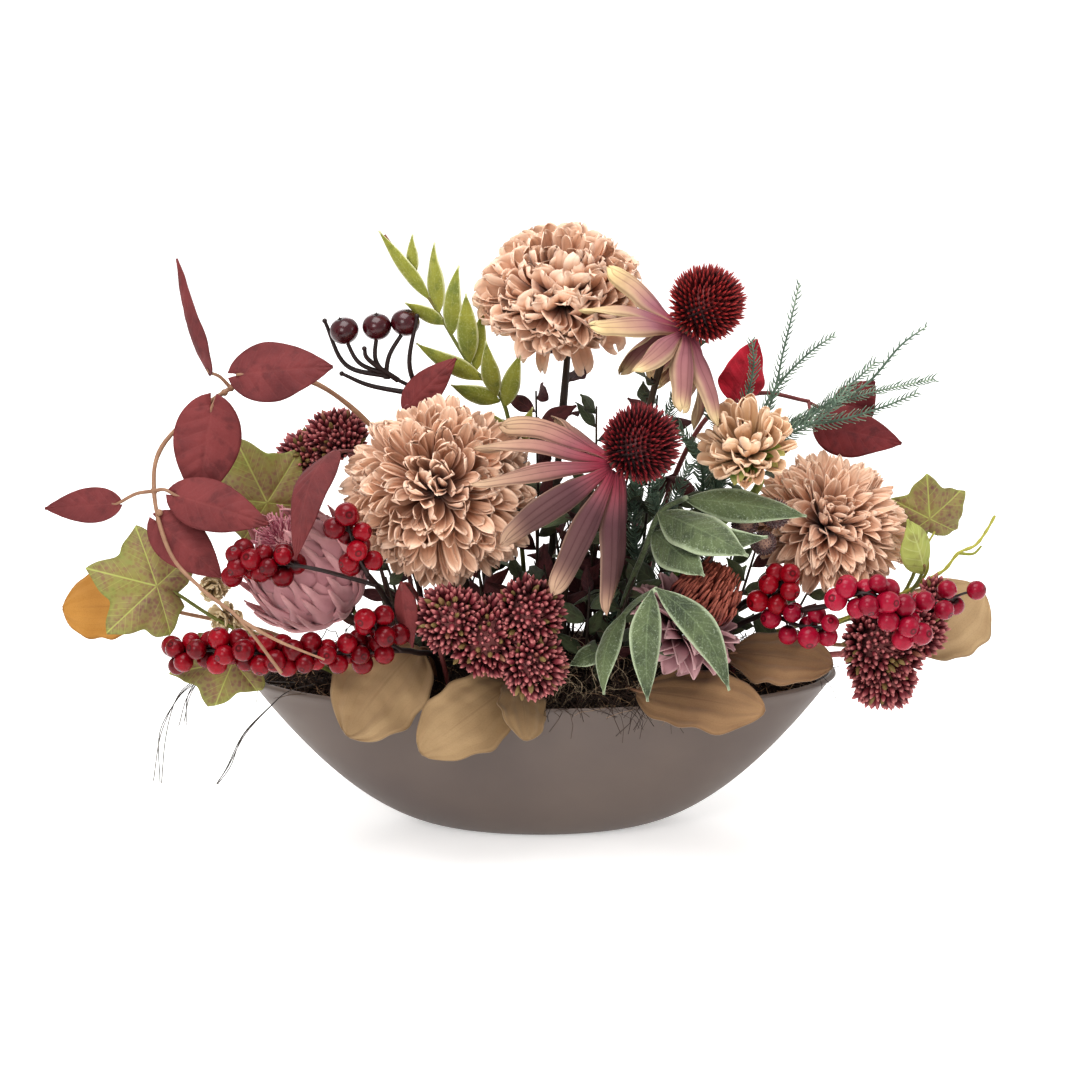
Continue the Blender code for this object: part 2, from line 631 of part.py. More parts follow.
# The burgundy branch at the right, behind the ferns
RED_BRANCH = [(46, 18, MOSS_ROOT), (60, 24, 150), (82, 26, 203), (109, 32, 217), (137, 37, 212)]
RED_LEAVES = {
    "red_leaf_low": ((136.5, 37, 212), (137, 26, 203), (182, 20, 194), (0, -0.85, 0.5), 25),
    "red_leaf_high": ((135, 36.7, 212.4), (154, 42, 202), (170, 40, 222), (-0.3, -0.9, 0.2), 22),
    "crimson_leaf": ((92, 28, 209), (98, 26, 213), (108, 28, 246), (0.3, -0.95, 0), 22),
}


def make_red_branch():
    stem = stalk("red_leaf_branch", RED_BRANCH, 1.6, 1.1, steps=2)
    petioles = []
    for name, (start, end, tip, face, width) in RED_LEAVES.items():
        petioles.append(branch(f"{name}_petiole", [start, end], 1.0, 0.8, steps=1))
        base = Vector(end) + (Vector(tip) - Vector(end)).normalized() * 2 * GAP
        dress(blade(name, base, tip, face, width, ovate, arch=0.04), "burgundy")
    dress(combine(stem, "UNION", petioles), "burgundy")


make_red_branch()

# Ivy
stalked_leaf("ivy_leaf_left", [(-82, -14, MOSS_ROOT), (-104, -24, 98), (-146, -46, 116), (-176, -54, 138)],
             (-216, -60, 151), (0.1, -0.9, 0.45), 48, None, "ivy", ivy=True)
stalked_leaf("ivy_leaf_upper", [(-80, 8, MOSS_ROOT), (-98, 4, 118), (-124, -10, 150), (-131, -12, 163)],
             (-150, -6, 203), (0.1, -0.9, 0.35), 44, None, "ivy", ivy=True)
stalked_leaf("ivy_leaf_lower", [(-90, -16, MOSS_ROOT), (-104, -34, 92), (-128, -52, 104), (-140, -58, 104)],
             (-179, -64, 100), (0.1, -0.8, 0.6), 32, None, "ivy", ivy=True)
stalked_leaf("ivy_leaf_right", [(92, 10, MOSS_ROOT), (120, 10, 98), (178, 8, 112), (195, 6, 155)],
             (193, 6, 182), (0.15, -0.95, 0.2), 38, None, "ivy", ivy=True)
stalked_leaf("ivy_leaf_right_low", [(96, -8, MOSS_ROOT), (124, -10, 98), (176, -22, 124), (187, -32, 142)],
             (177, -40, 170), (0.5, -0.8, 0.2), 20, lance, "ivy")

# Broad tan leaves that spill over the rim, at the front, the ends and the back
stalked_leaf("tan_leaf_front_left", [(-50, -24, MOSS_ROOT), (-54, -34, 100), (-60, -42, 105)],
             (-93, -64, 68), (-0.2, -0.75, 0.6), 46, rounded, "tan", arch=0.12)
stalked_leaf("tan_leaf_front", [(-8, -40, MOSS_ROOT), (-10, -46, 88), (-14, -56, 91)],
             (-57, -82, 66), (0.15, -0.85, 0.5), 36, rounded, "tan", arch=0.16,
             second=((-12, -54, 92.5), (-7, -84, 73), (0.45, -0.75, 0.45), 24))
stalked_leaf("tan_leaf_under_protea", [(36, -38, MOSS_ROOT), (40, -46, 86), (48, -56, 88)],
             (106, -86, 88), (0.0, -0.6, 0.8), 38, rounded, "tan", arch=0.03)
stalked_leaf("tan_leaf_front_right", [(84, -28, MOSS_ROOT), (86, -38, 92), (93, -46, 104)],
             (140, -66, 104), (0.0, -0.5, 0.86), 34, rounded, "tan", arch=0.04)
stalked_leaf("tan_leaf_far_right", [(100, 4, MOSS_ROOT), (126, 4, 92), (170, -4, 94), (188, -10, 96)],
             (219, -16, 128), (0.15, -0.93, 0.3), 44, rounded, "tan", arch=0.04)
stalked_leaf("tan_leaf_far_left", [(-94, 2, MOSS_ROOT), (-130, 0, 98), (-176, -18, 116), (-196, -24, 122)],
             (-236, -22, 120), (0.05, -0.93, 0.35), 34, rounded, "tan", arch=0.04)
stalked_leaf("tan_leaf_back_left", [(-46, 34, MOSS_ROOT), (-48, 42, 90), (-52, 52, 92)],
             (-78, 84, 74), (-0.1, 0.6, 0.8), 40, rounded, "tan", arch=0.12)
stalked_leaf("tan_leaf_back_right", [(34, 36, MOSS_ROOT), (34, 44, 90), (38, 54, 93)],
             (62, 88, 72), (0.1, 0.6, 0.8), 42, rounded, "tan", arch=0.12)


def leafy_sprig(name, stem_points, leaves, colour, radius=1.3, branches=()):
    """A stem with blades fused to it. Each leaf is (base, tip, face, width)."""
    stem = stalk(name, stem_points, radius, 0.9, steps=2)
    parts = [branch(f"{name}_branch_{k}", points, 1.0, 0.7) for k, points in enumerate(branches)]
    parts += [blade(f"{name}_leaf_{k}", base, tip, face, width, lance, arch=0.06, rows=4)
              for k, (base, tip, face, width) in enumerate(leaves)]
    dress(combine(stem, "UNION", parts), colour)


leafy_sprig("lambs_ear_upper",
            [(32, -10, MOSS_ROOT), (40, -26, 120), (50, -52, 158), (57, -58, 178), (70, -52, 184)],
            [((56, -58, 178), (96, -92, 166), (0.1, -0.75, 0.65), 22),
             ((53.5, -55.5, 168), (76, -90, 156), (-0.2, -0.8, 0.5), 18),
             ((52, -54, 163), (106, -80, 172), (0.0, -0.9, -0.3), 16),
             ((69, -52, 183), (126, -60, 176), (0.0, -0.8, 0.6), 15)],
            "sage")
leafy_sprig("lambs_ear_lower",
            [(24, -34, MOSS_ROOT), (30, -50, 106), (42, -70, 134), (54, -88, 149)],
            [((53, -88, 149), (56, -100, 99), (0.1, -0.97, -0.1), 16),
             ((54.2, -88, 149), (80, -104, 103), (0.3, -0.9, 0.1), 17),
             ((40, -67, 131), (36, -88, 102), (-0.5, -0.85, 0), 13),
             ((31.3, -52.3, 109), (14, -64, 104), (-0.3, -0.9, 0.2), 9)],
            "sage")
leafy_sprig("green_sprig",
            [(-4, 16, MOSS_ROOT), (-10, 16, 150), (-17, 13, 213), (-35, 12, 236), (-54, 12, 268), (-76, 12, 298)],
            [((-20, 13, 217), (-44, 8, 226), (-0.2, -0.95, 0.2), 9),
             ((-22, 13, 219), (-26, 2, 250), (-0.3, -0.95, 0), 9),
             ((-35, 12, 236), (-36, 6, 273), (-0.3, -0.95, 0), 10),
             ((-50, 12, 261), (-52, 6, 297), (-0.3, -0.95, 0), 9),
             ((-54, 12, 268), (-78, 9, 304), (-0.4, -0.9, 0), 6)],
            "lime")
leafy_sprig("fern_sprig",
            [(58, 10, MOSS_ROOT), (72, 8, 130), (89, 2, 180), (110, 12, 198), (137, 16, 211), (162, 20, 219),
             (197, 20, 227)],
            [], "fern", radius=1.2,
            branches=([(137, 16, 211), (163, 24, 223), (193, 24, 253)],
                      [(89, 2, 180), (112, 2, 214), (120, 4, 246), (132, 8, 277)]))
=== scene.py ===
# Autumn table centrepiece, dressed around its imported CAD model.
# Everything is worked out in millimetres and turned into metres when a mesh is made.
import math

import bpy
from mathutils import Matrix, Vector
import numpy as np


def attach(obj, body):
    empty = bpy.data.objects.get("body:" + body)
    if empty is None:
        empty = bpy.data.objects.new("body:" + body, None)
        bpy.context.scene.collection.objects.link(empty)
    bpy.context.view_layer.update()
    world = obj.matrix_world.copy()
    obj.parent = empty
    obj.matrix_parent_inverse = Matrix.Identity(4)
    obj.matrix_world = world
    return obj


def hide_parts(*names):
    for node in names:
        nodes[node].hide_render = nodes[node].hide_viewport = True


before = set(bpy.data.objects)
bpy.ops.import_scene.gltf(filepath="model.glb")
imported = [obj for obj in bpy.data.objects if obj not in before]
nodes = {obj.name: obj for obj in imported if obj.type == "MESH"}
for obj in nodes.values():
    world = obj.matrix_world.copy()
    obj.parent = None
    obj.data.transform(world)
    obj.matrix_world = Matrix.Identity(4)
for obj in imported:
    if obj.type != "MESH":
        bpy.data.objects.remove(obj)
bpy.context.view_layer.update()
rng = np.random.default_rng(11)
golden = math.pi * (3 - math.sqrt(5))
fullTurn = 2 * math.pi
milli = 0.001
print("frame loaded:", len(nodes), "nodes")


# Vectors, routes and grids
def unit(v):
    v = np.asarray(v, float)
    return v / np.maximum(np.linalg.norm(v, axis=-1, keepdims=True), 1e-9)


def smoothRoute(points, steps=8):
    points = np.asarray(points, float)
    ends = np.vstack([points[:1] * 2 - points[1:2], points, points[-1:] * 2 - points[-2:-1]])
    route = []
    for a, b, c, d in zip(ends, ends[1:], ends[2:], ends[3:]):
        for t in np.arange(steps) / steps:
            route.append(0.5 * (2 * b + (c - a) * t + (2 * a - 5 * b + 4 * c - d) * t * t
                                + (3 * b - a - 3 * c + d) * t ** 3))
    return np.array(route + [points[-1]])


def stepsOf(route):
    return np.linalg.norm(np.diff(route, axis=0), axis=1)


def along(route, share):
    # the point and the direction at a share of a route's length
    reach = np.concatenate([[0], np.cumsum(stepsOf(route))])
    at = share * reach[-1]
    spot = np.array([np.interp(at, reach, route[:, k]) for k in range(3)])
    k = min(int(np.searchsorted(reach, at, side="right")) - 1, len(route) - 2)
    return spot, unit(route[k + 1] - route[k])


def turnTo(axis):
    # columns are the local X, Y and Z of something that looks along axis
    z = unit(axis)
    x = unit(np.cross([0, 0, 1.0] if abs(z[2]) < 0.95 else [0, 1.0, 0], z))
    return np.stack([x, np.cross(z, x), z], axis=1)


def turnsTo(axes):
    # turnTo for many axes at once, each with a roll of its own
    z = unit(axes)
    x = unit(np.cross(np.where(np.abs(z[:, 2:3]) < 0.95, [[0, 0, 1.0]], [[0, 1.0, 0]]), z))
    y = np.cross(z, x)
    roll = rng.uniform(0, fullTurn, (len(z), 1))
    return np.stack([x * np.cos(roll) + y * np.sin(roll), y * np.cos(roll) - x * np.sin(roll), z], axis=2)


def easeBetween(low, high, value):
    t = np.clip((value - low) / (high - low), 0, 1)
    return t * t * (3 - 2 * t)


def noiseTable(shape, amount):
    return rng.uniform(-amount, amount, shape)


def marksOf(points, across, length, tone):
    # what the materials read: across and along a piece, and its own tone
    marks = np.empty(points.shape)
    marks[..., 0], marks[..., 1], marks[..., 2] = across, length, tone
    return marks


def gridFaces(index):
    corners = index[..., :-1, :-1], index[..., :-1, 1:], index[..., 1:, 1:], index[..., 1:, :-1]
    return np.stack(corners, axis=-1).reshape(-1, 4)


class Bundle:
    # gathers sheets, tubes and stamped copies into one mesh
    def __init__(self):
        self.points, self.marks, self.depths, self.faces, self.count = [], [], [], [], 0

    def add(self, points, faces, marks, depth):
        # depth is 1 where a piece lies open and 0 in the shade between others
        self.marks.append(np.broadcast_to(marks, points.shape).reshape(-1, 3))
        self.depths.append(np.broadcast_to(depth, points.shape[:-1]).reshape(-1))
        self.points.append(points.reshape(-1, 3))
        self.faces.append(faces + self.count)
        self.count += len(self.points[-1])
        return self

    def sheets(self, points, marks, depth=0.5, wrap=False):
        # points is (pieces, rows, columns, 3)
        index = np.arange(points[..., 0].size).reshape(points.shape[:3])
        if wrap:
            index = np.concatenate([index, index[:, :, :1]], axis=2)
        return self.add(points, gridFaces(index), marks, depth)

    def tubes(self, routes, radii, sides=6, tone=None):
        # routes is (pieces, knots, 3); radii is broadcast to (pieces, knots)
        routes = np.asarray(routes, float)
        n, knots = routes.shape[:2]
        radii = np.broadcast_to(np.asarray(radii, float), (n, knots))
        ahead = unit(np.gradient(routes, axis=1))
        side = unit(np.cross(ahead[:, 0], [0.31, 0.52, 0.8]))  # any direction that no route follows
        sideways, over = np.empty_like(routes), np.empty_like(routes)
        for k in range(knots):
            side = unit(side - ahead[:, k] * np.sum(side * ahead[:, k], axis=1, keepdims=True))
            sideways[:, k], over[:, k] = side, np.cross(ahead[:, k], side)
        turn = np.arange(sides) * fullTurn / sides
        ring = sideways[:, :, None] * np.cos(turn)[:, None] + over[:, :, None] * np.sin(turn)[:, None]
        points = routes[:, :, None] + ring * radii[:, :, None, None]
        tone = rng.uniform(0, 1, n) if tone is None else tone
        length = np.linspace(0, 1, knots)[:, None]
        marks = marksOf(points, turn / fullTurn, length, np.reshape(tone, (-1, 1, 1)))
        return self.sheets(points, marks, wrap=True)

    def cane(self, points, thick, thin, sides=8, tone=0.4, steps=8):
        # one smooth stalk through these points
        route = smoothRoute(points, steps)
        return self.tubes([route], np.linspace(thick, thin, len(route)), sides, [tone])

    def stamps(self, shape, turns, spots, sizes, tones, depth=0.5):
        # copies a small shape: turns is (pieces, 3, 3), spots (pieces, 3), sizes (pieces,) or (pieces, 3)
        local, faces, tall = shape
        n = len(spots)
        sizes = np.asarray(sizes, float).reshape(n, -1) * np.ones((n, 3))
        points = np.einsum("nij,nvj->nvi", turns, local[None] * sizes[:, None]) + np.asarray(spots)[:, None]
        faces = faces[None] + (np.arange(n) * len(local))[:, None, None]
        marks = marksOf(points, 0.5, tall, np.reshape(tones, (-1, 1)))
        return self.add(points, faces.reshape(-1, 4), marks, depth)

    def stamp(self, shape, axis, spot, size=1.0, tone=0.4, depth=0.5):
        return self.stamps(shape, turnTo(axis)[None], [spot], [size], [tone], depth)

    def build(self, name, finish, stands=(), thickness=0.0, slot=None):
        mesh = bpy.data.meshes.new(name)
        points = np.concatenate(self.points) * milli
        corners = np.concatenate(self.faces).reshape(-1)
        count = len(corners) // 4
        mesh.vertices.add(len(points))
        mesh.vertices.foreach_set("co", points.astype(np.float32).ravel())
        mesh.loops.add(len(corners))
        mesh.loops.foreach_set("vertex_index", corners.astype(np.int32))
        mesh.polygons.add(count)
        mesh.polygons.foreach_set("loop_start", np.arange(0, len(corners), 4, dtype=np.int32))
        mesh.polygons.foreach_set("use_smooth", np.ones(count, bool))
        mesh.update(calc_edges=True)
        for kind, key, label, values in (("FLOAT_VECTOR", "vector", "mark", self.marks),
                                         ("FLOAT", "value", "depth", self.depths)):
            layer = mesh.attributes.new(label, kind, "POINT")
            layer.data.foreach_set(key, np.concatenate(values).astype(np.float32).ravel())
        mesh.validate()
        made = bpy.data.objects.new(name, mesh)
        bpy.context.scene.collection.objects.link(made)
        made.data.materials.append(finish)
        if thickness:
            sheet = made.modifiers.new("thickness", "SOLIDIFY")
            sheet.thickness, sheet.offset = thickness * milli, 0
        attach(made, "root")
        if stands:
            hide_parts(*stands)


def spindle(profile, sides, squash=0.0, lobes=4):
    # a turned shape from (radius, height) pairs, with its sides drawn in between lobes
    profile = np.asarray(profile, float)
    turn = np.arange(sides) * fullTurn / sides
    radius = profile[:, :1] * (1 - squash * (0.5 + 0.5 * np.cos(turn * lobes)))
    height = np.repeat(profile[:, 1:], sides, 1)
    points = np.stack([radius * np.cos(turn), radius * np.sin(turn), height], axis=-1)
    index = np.arange(len(profile) * sides).reshape(-1, sides)
    tall = (profile[:, 1] - profile[:, 1].min()) / np.ptp(profile[:, 1])
    index = np.concatenate([index, index[:, :1]], axis=1)
    return points.reshape(-1, 3), gridFaces(index), np.repeat(tall, sides)


def ball(rings, sides, dip=0.0):
    # a unit ball, with a dimple at its top
    angle = np.linspace(math.pi, 0, rings + 1)
    height = np.cos(angle)
    height[-1] -= dip
    return spindle(np.stack([np.maximum(np.sin(angle), 0.02), height], axis=1), sides)


def fanOut(count, reach):
    # directions spread evenly over a cap of the unit ball, from its pole to the angle reach
    k = np.arange(count) + 0.5
    cosine = 1 - k / count * (1 - math.cos(math.radians(reach)))
    sine = np.sqrt(np.maximum(1 - cosine ** 2, 0))
    return np.stack([sine * np.cos(k * golden), sine * np.sin(k * golden), cosine], axis=1)


# Materials
def tint(code):
    # a linear colour from the six hex digits that a paint chart gives
    parts = [int(code[k:k + 2], 16) / 255 for k in (0, 2, 4)]
    return (*[p / 12.92 if p <= 0.04045 else ((p + 0.055) / 1.055) ** 2.4 for p in parts], 1.0)


class Wire:
    # a node socket that takes part in Python arithmetic
    def __init__(self, tree, socket=None):
        self.tree, self.socket = tree, socket

    def node(self, kind, settings=None, inputs=None, out=0):
        made = self.tree.nodes.new("ShaderNode" + kind)
        for name, value in (settings or {}).items():
            if name == "stops":
                ramp = made.color_ramp
                while len(ramp.elements) < len(value):
                    ramp.elements.new(0.5)
                for element, (place, colour) in zip(ramp.elements, value):
                    element.position, element.color = place, tint(colour)
            else:
                setattr(made, name, value)
        for key, value in (inputs or {}).items():
            if isinstance(value, Wire):
                self.tree.links.new(value.socket, made.inputs[key])
            else:
                made.inputs[key].default_value = value
        return Wire(self.tree, made.outputs[out])

    def maths(self, operation, first, second=0.0):
        return self.node("Math", {"operation": operation}, {0: first, 1: second})

    def __add__(self, other):
        return self.maths("ADD", self, other)

    def __sub__(self, other):
        return self.maths("SUBTRACT", self, other)

    def __rsub__(self, other):
        return self.maths("SUBTRACT", other, self)

    def __mul__(self, other):
        return self.maths("MULTIPLY", self, other)

    def __truediv__(self, other):
        return self.maths("DIVIDE", self, other)

    def __abs__(self):
        return self.maths("ABSOLUTE", self)

    __radd__, __rmul__ = __add__, __mul__

    def sine(self):
        return self.maths("SINE", self)

    def part(self):
        return self.maths("FRACT", self)

    def most(self, other):
        return self.maths("MAXIMUM", self, other)

    def ease(self, low, high):
        settings = {"interpolation_type": "SMOOTHSTEP"}
        return self.node("MapRange", settings, {"Value": self, "From Min": low, "From Max": high})

    def blend(self, under, colour):
        # this value says how much of the colour covers what is under it
        return self.node("Mix", {"data_type": "RGBA"}, {0: self, 6: under, 7: tint(colour)}, out=2)

    def ramp(self, *stops):
        return self.node("ValToRGB", {"stops": stops}, {0: self})

    def mark(self):
        # across, along and tone of the piece, as Bundle wrote them
        vector = self.node("Attribute", {"attribute_name": "mark"}, out=1)
        return [self.node("SeparateXYZ", inputs={0: vector}, out=k) for k in range(3)]

    def depth(self):
        return self.node("Attribute", {"attribute_name": "depth"}, out=2)

    def place(self, stretch=None):
        spot = self.node("TexCoord", out=3)
        return self.node("VectorMath", {"operation": "MULTIPLY"}, {0: spot, 1: stretch}) if stretch else spot

    def cloud(self, scale, detail=3.0, stretch=None, rough=0.5):
        inputs = {"Vector": self.place(stretch), "Scale": scale, "Detail": detail, "Roughness": rough}
        return self.node("TexNoise", inputs=inputs)

    def cells(self, scale):
        return self.node("TexVoronoi", inputs={"Vector": self.place(), "Scale": scale})

    def bump(self, strength, distance):
        # this value is the height
        return self.node("Bump", inputs={"Strength": strength, "Distance": distance * milli, "Height": self})


def newFinish(name, recipe, constants=None):
    material = bpy.data.materials.new(name)
    material.use_nodes = True
    shader = material.node_tree.nodes["Principled BSDF"]
    for socket, value in (constants or {}).items():
        shader.inputs[socket].default_value = value
    for socket, wire in zip(("Base Color", "Roughness", "Normal"), recipe(Wire(material.node_tree))):
        material.node_tree.links.new(wire.socket, shader.inputs[socket])
    return material


# Each recipe gives colour, roughness and normal. This one is a glaze: faint mottling and specks, with a
# painted highlight along the rim and painted shade at the foot
def bowlRecipe(w):
    height = w.node("SeparateXYZ", inputs={0: w.place()}, out=2)
    colour = w.cloud(14, 5).ramp((0.3, "554944"), (0.7, "62554D"))
    colour = (1 - w.cells(420).ease(0.05, 0.16)).blend(colour, "5C5049")
    # painted highlight: a lighter band along the top of the rim
    colour = (height.ease(0.0805, 0.0825) * 0.6).blend(colour, "A09288")
    # painted shade: darker in the lowest 4 mm, where the bowl meets the floor
    colour = ((1 - height.ease(0.0, 0.004)) * 0.7).blend(colour, "4A403A")
    return colour, w.cloud(60, 4) * 0.16 + 0.42, (w.cloud(900, 3) * 0.5 + w.cloud(40, 2)).bump(0.25, 0.12)


# woven petal cloth: a gradient along the petal, pale edges and fine threads, with painted shade deep in the
# head, in the rib grooves and on hanging petals
def petalRecipe(foot, middle, tip, edge, shadow, ribs=0, ribShare=0.42, edgeFrom=0.72, rimShare=0.4,
                shadowShare=0.75, patchShare=0.25, hangingShadowColour=None, stops=(0.05, 0.5, 0.95)):
    def recipe(w):
        across, length, tone = w.mark()
        colour = length.ramp(*zip(stops, (foot, middle, tip)))
        colour = (tone * 0.3).blend(colour, middle)
        if hangingShadowColour:  # painted shade on petals whose tone is high, which on the coneflowers are those that hang lowest, sparing their tips
            hangingShadowMask = tone.ease(0.3, 0.8) * 0.85 * length.ease(0.12, 0.4)
            colour = (hangingShadowMask * (1 - length.ease(0.74, 1.0) * 0.8)).blend(colour, hangingShadowColour)
        rim = abs(across).ease(edgeFrom, 1.0).most(length.ease(0.86, 1.0) * 0.9)
        colour = (rim * rimShare).blend(colour, edge)
        # painted shade where petals lie deep in a head, strongest towards each petal's foot
        paintedShade = (1 - w.depth()).ease(0.42, 1.0) * (1 - length * 0.5)
        colour = (paintedShade * shadowShare).blend(colour, shadow)
        colour = (w.cloud(90, 3).ease(0.4, 0.8) * patchShare).blend(colour, shadow)
        threads = w.cloud(1600, 2)
        height = threads * 0.25
        if ribs:
            lines = abs((across * ribs).sine())
            # painted shade: the rib grooves, where the bump is lowest, darken towards the shade colour
            colour = ((1 - lines.ease(0.0, 0.6)) * ribShare).blend(colour, shadow)
            height = height + lines * 0.8
        return colour, 0.72 + threads * 0.2, height.bump(0.5, 0.25)
    return recipe


# printed leaf cloth: a midrib, side veins that run forward, and two tones
def leafRecipe(dark, light, vein, mottle, veins=7.0, slant=1.5, felt=0.3, veinShare=0.55, edge=None,
               edgeShare=0.6, frost=None):
    def recipe(w):
        across, length, tone = w.mark()
        wide = abs(across)
        colour = (w.cloud(55, 4) + tone * 0.25).ramp((0.35, dark), (0.75, light))
        colour = (w.cloud(160, 5).ease(0.5, 0.68) * 0.5).blend(colour, mottle)
        ripple = abs((length * veins - wide * slant).part() - 0.5)
        sideVein = (1 - ripple.ease(0.02, 0.10)) * (1 - wide.ease(0.7, 1.0)) * 0.7
        lines = (1 - wide.ease(0.01, 0.075)).most(sideVein)
        colour = (lines * veinShare).blend(colour, vein)
        if edge:
            colour = (wide.ease(0.74, 1.0).most(length.ease(0.93, 1.0)) * edgeShare).blend(colour, edge)
        if frost:
            flock = w.cloud(1100, 4, rough=0.7).ease(0.52, 0.66) * (0.35 + 0.65 * wide.ease(0.3, 1.0))
            colour = (flock * 0.55).blend(colour, frost)
        weave = w.cloud(1400, 3)
        return colour, 0.62 + weave * 0.3, (weave * felt - lines * 0.5).bump(0.55, 0.3)
    return recipe


# dried leaf felt: fine ribs that fan out from the stalk, and a darker foot
def feltRecipe(dark, light, foot):
    def recipe(w):
        across, length, tone = w.mark()
        colour = (w.cloud(28, 3) * 0.7 + tone * 0.3).ramp((0.3, dark), (0.7, light))
        ribs = (1 - abs((across * 16 + w.cloud(30, 2) * 4).sine()).ease(0.0, 0.22)) * 0.5
        lines = ribs.most((1 - abs(across).ease(0.01, 0.04)) * (1 - length.ease(0.5, 0.95)))
        fibre = w.cloud(1500, 4, rough=0.7)
        edge = abs(across).ease(0.93, 1.0).most(length.ease(0.97, 1.0))
        for share in (lines * 0.22, (1 - length.ease(0.0, 0.45)) * 0.55, edge * 0.4,
                      fibre.ease(0.45, 0.7) * 0.14):
            colour = share.blend(colour, foot)
        return colour, 0.7 + fibre * 0.25, (fibre * 0.6 - lines * 0.4).bump(0.5, 0.3)
    return recipe


# ivy: pale veins along each lobe, green breaking into purple brown between them
def ivyRecipe(w):
    x, y, tone = w.mark()
    x = abs(x)
    lines = None
    for angle, wide in ((0, 0.62), (58, 0.5), (122, 0.4)):
        s, c = math.sin(math.radians(angle)), math.cos(math.radians(angle))
        off, ahead = x * c - y * s, x * s + y * c
        twig = 1 - abs(((ahead - abs(off) * 1.1) / 4.4).part() - 0.5).ease(0.02, 0.08)
        twig = twig * (1 - (abs(off) / ahead.most(0.5)).ease(0.3, 0.5)) * ahead.ease(2.0, 4.0) * 0.4
        line = ((1 - abs(off).ease(wide * 0.35, wide)) * ahead.ease(-0.5, 1.5)).most(twig)
        lines = lines.most(line) if lines else line
    blotch = w.cloud(62, 5) + (w.cloud(300, 3) - 0.5) * 0.35 + tone * 0.12
    colour = blotch.ramp((0.26, "787A38"), (0.38, "84743E"), (0.52, "826248"), (0.74, "6C4640"))
    colour = (w.depth().ease(0.8, 1.0) * 0.5).blend(colour, "727C36")
    colour = (w.cells(480).ease(0.25, 0.62) * 0.38).blend(colour, "8E944A")  # fine net between the veins
    colour = (lines * 0.7).blend(colour, "AAB25E")
    weave = w.cloud(1400, 3)
    return colour, 0.5 + weave * 0.25, (weave * 0.3 - lines * 0.5).bump(0.5, 0.3)


# plain mottled stuff for stems, twigs, buds, spikes and threads
def plainRecipe(dark, light, tip=None, tipFrom=0.6, grain=300, roughFrom=0.5, bump=0.3, stretch=None,
                other=None, otherFrom=0.8):
    def recipe(w):
        across, length, tone = w.mark()
        colour = (w.cloud(grain, 3, stretch) * 0.5 + tone * 0.5).ramp((0.2, dark), (0.8, light))
        if tip:
            colour = length.ease(tipFrom, 1.0).blend(colour, tip)
        if other:
            colour = tone.ease(otherFrom, otherFrom + 0.05).blend(colour, other)
        fine = w.cloud(grain * 4, 3, stretch)
        return colour, roughFrom + fine * 0.25, fine.bump(bump, 0.2)
    return recipe


def foamRecipe(w):
    fibre = w.cloud(900, 3)
    return w.cloud(220, 5).ramp((0.3, "2E3A26"), (0.7, "46553A")), 0.55 + fibre * 0.3, fibre.bump(0.6, 0.3)


def berryRecipe(dark, light, cap):
    def recipe(w):
        across, length, tone = w.mark()
        colour = (w.cloud(260, 4) * 0.6 + tone * 0.4).ramp((0.3, dark), (0.75, light))
        colour = (1 - length.ease(0.02, 0.12)).blend(colour, cap)
        colour = (length.ease(0.975, 0.995) * 0.7).blend(colour, cap)
        return colour, w.cloud(150, 3) * 0.2 + 0.16, w.cloud(500, 3).bump(0.35, 0.15)
    return recipe


print("materials described")

# Camera, floor and light
studio = {"distance": 1200, "height": 149, "elevation": 15, "lens": 80, "sky": 0.66, "floorGlow": 0.34}
lights = (("topLight", (-150, -250, 1350), 900, 11.0), ("frontLight", (-600, -1350, 900), 600, 6.0),
          ("sideLight", (1250, -300, 650), 600, 2.0), ("backLight", (-300, 1300, 800), 900, 4.0))
scene = bpy.context.scene
aim = np.array([0, 0, studio["height"]])
tilt = math.radians(studio["elevation"])
lensData = bpy.data.cameras.new("camera")
lensData.lens, lensData.sensor_width = studio["lens"], 36
camera = bpy.data.objects.new("camera", lensData)
camera.location = (aim + studio["distance"] * np.array([0, -math.cos(tilt), math.sin(tilt)])) * milli
camera.rotation_euler = (math.pi / 2 - tilt, 0, 0)
scene.collection.objects.link(camera)
scene.camera = camera
for name, spot, size, power in lights:
    lamp = bpy.data.lights.new(name, "AREA")
    lamp.size, lamp.energy = size * milli, power
    holder = bpy.data.objects.new(name, lamp)
    holder.location = np.array(spot) * milli
    holder.rotation_mode = "QUATERNION"
    holder.rotation_quaternion = (holder.location - Vector(aim * milli)).to_track_quat("Z", "Y")
    scene.collection.objects.link(holder)
sky = bpy.data.worlds.new("studio")
sky.use_nodes = True
sky.node_tree.nodes["Background"].inputs["Color"].default_value = (1, 1, 1, 1)
sky.node_tree.nodes["Background"].inputs["Strength"].default_value = studio["sky"]
scene.world = sky
scene.view_settings.view_transform = "Standard"
scene.view_settings.look = "Medium High Contrast"


def floorRecipe(w):
    return [w.cloud(3, 2).ramp((0.3, "F4F3F1"), (0.7, "F7F6F5"))]


floorPlane = bpy.data.meshes.new("floor")
floorPlane.from_pydata([(-30, -30, 0), (30, -30, 0), (30, 30, 0), (-30, 30, 0)], [], [(0, 1, 2, 3)])
floor = bpy.data.objects.new("floor", floorPlane)
scene.collection.objects.link(floor)
glow = {"Roughness": 0.8, "Emission Color": (1, 1, 1, 1), "Emission Strength": studio["floorGlow"]}
floorPlane.materials.append(newFinish("pale_floor", floorRecipe, glow))
print("camera, floor and light set")

# Bowl: a fine turned shell with a rounded rim and a small foot
bowlShape = {"foot": 47, "rim": 150, "height": 82, "ratio": 0.43, "flare": 0.55, "wall": 4}


def bowlReach(height):
    span = bowlShape["rim"] - bowlShape["foot"]
    return bowlShape["foot"] + span * (height / bowlShape["height"]) ** bowlShape["flare"]


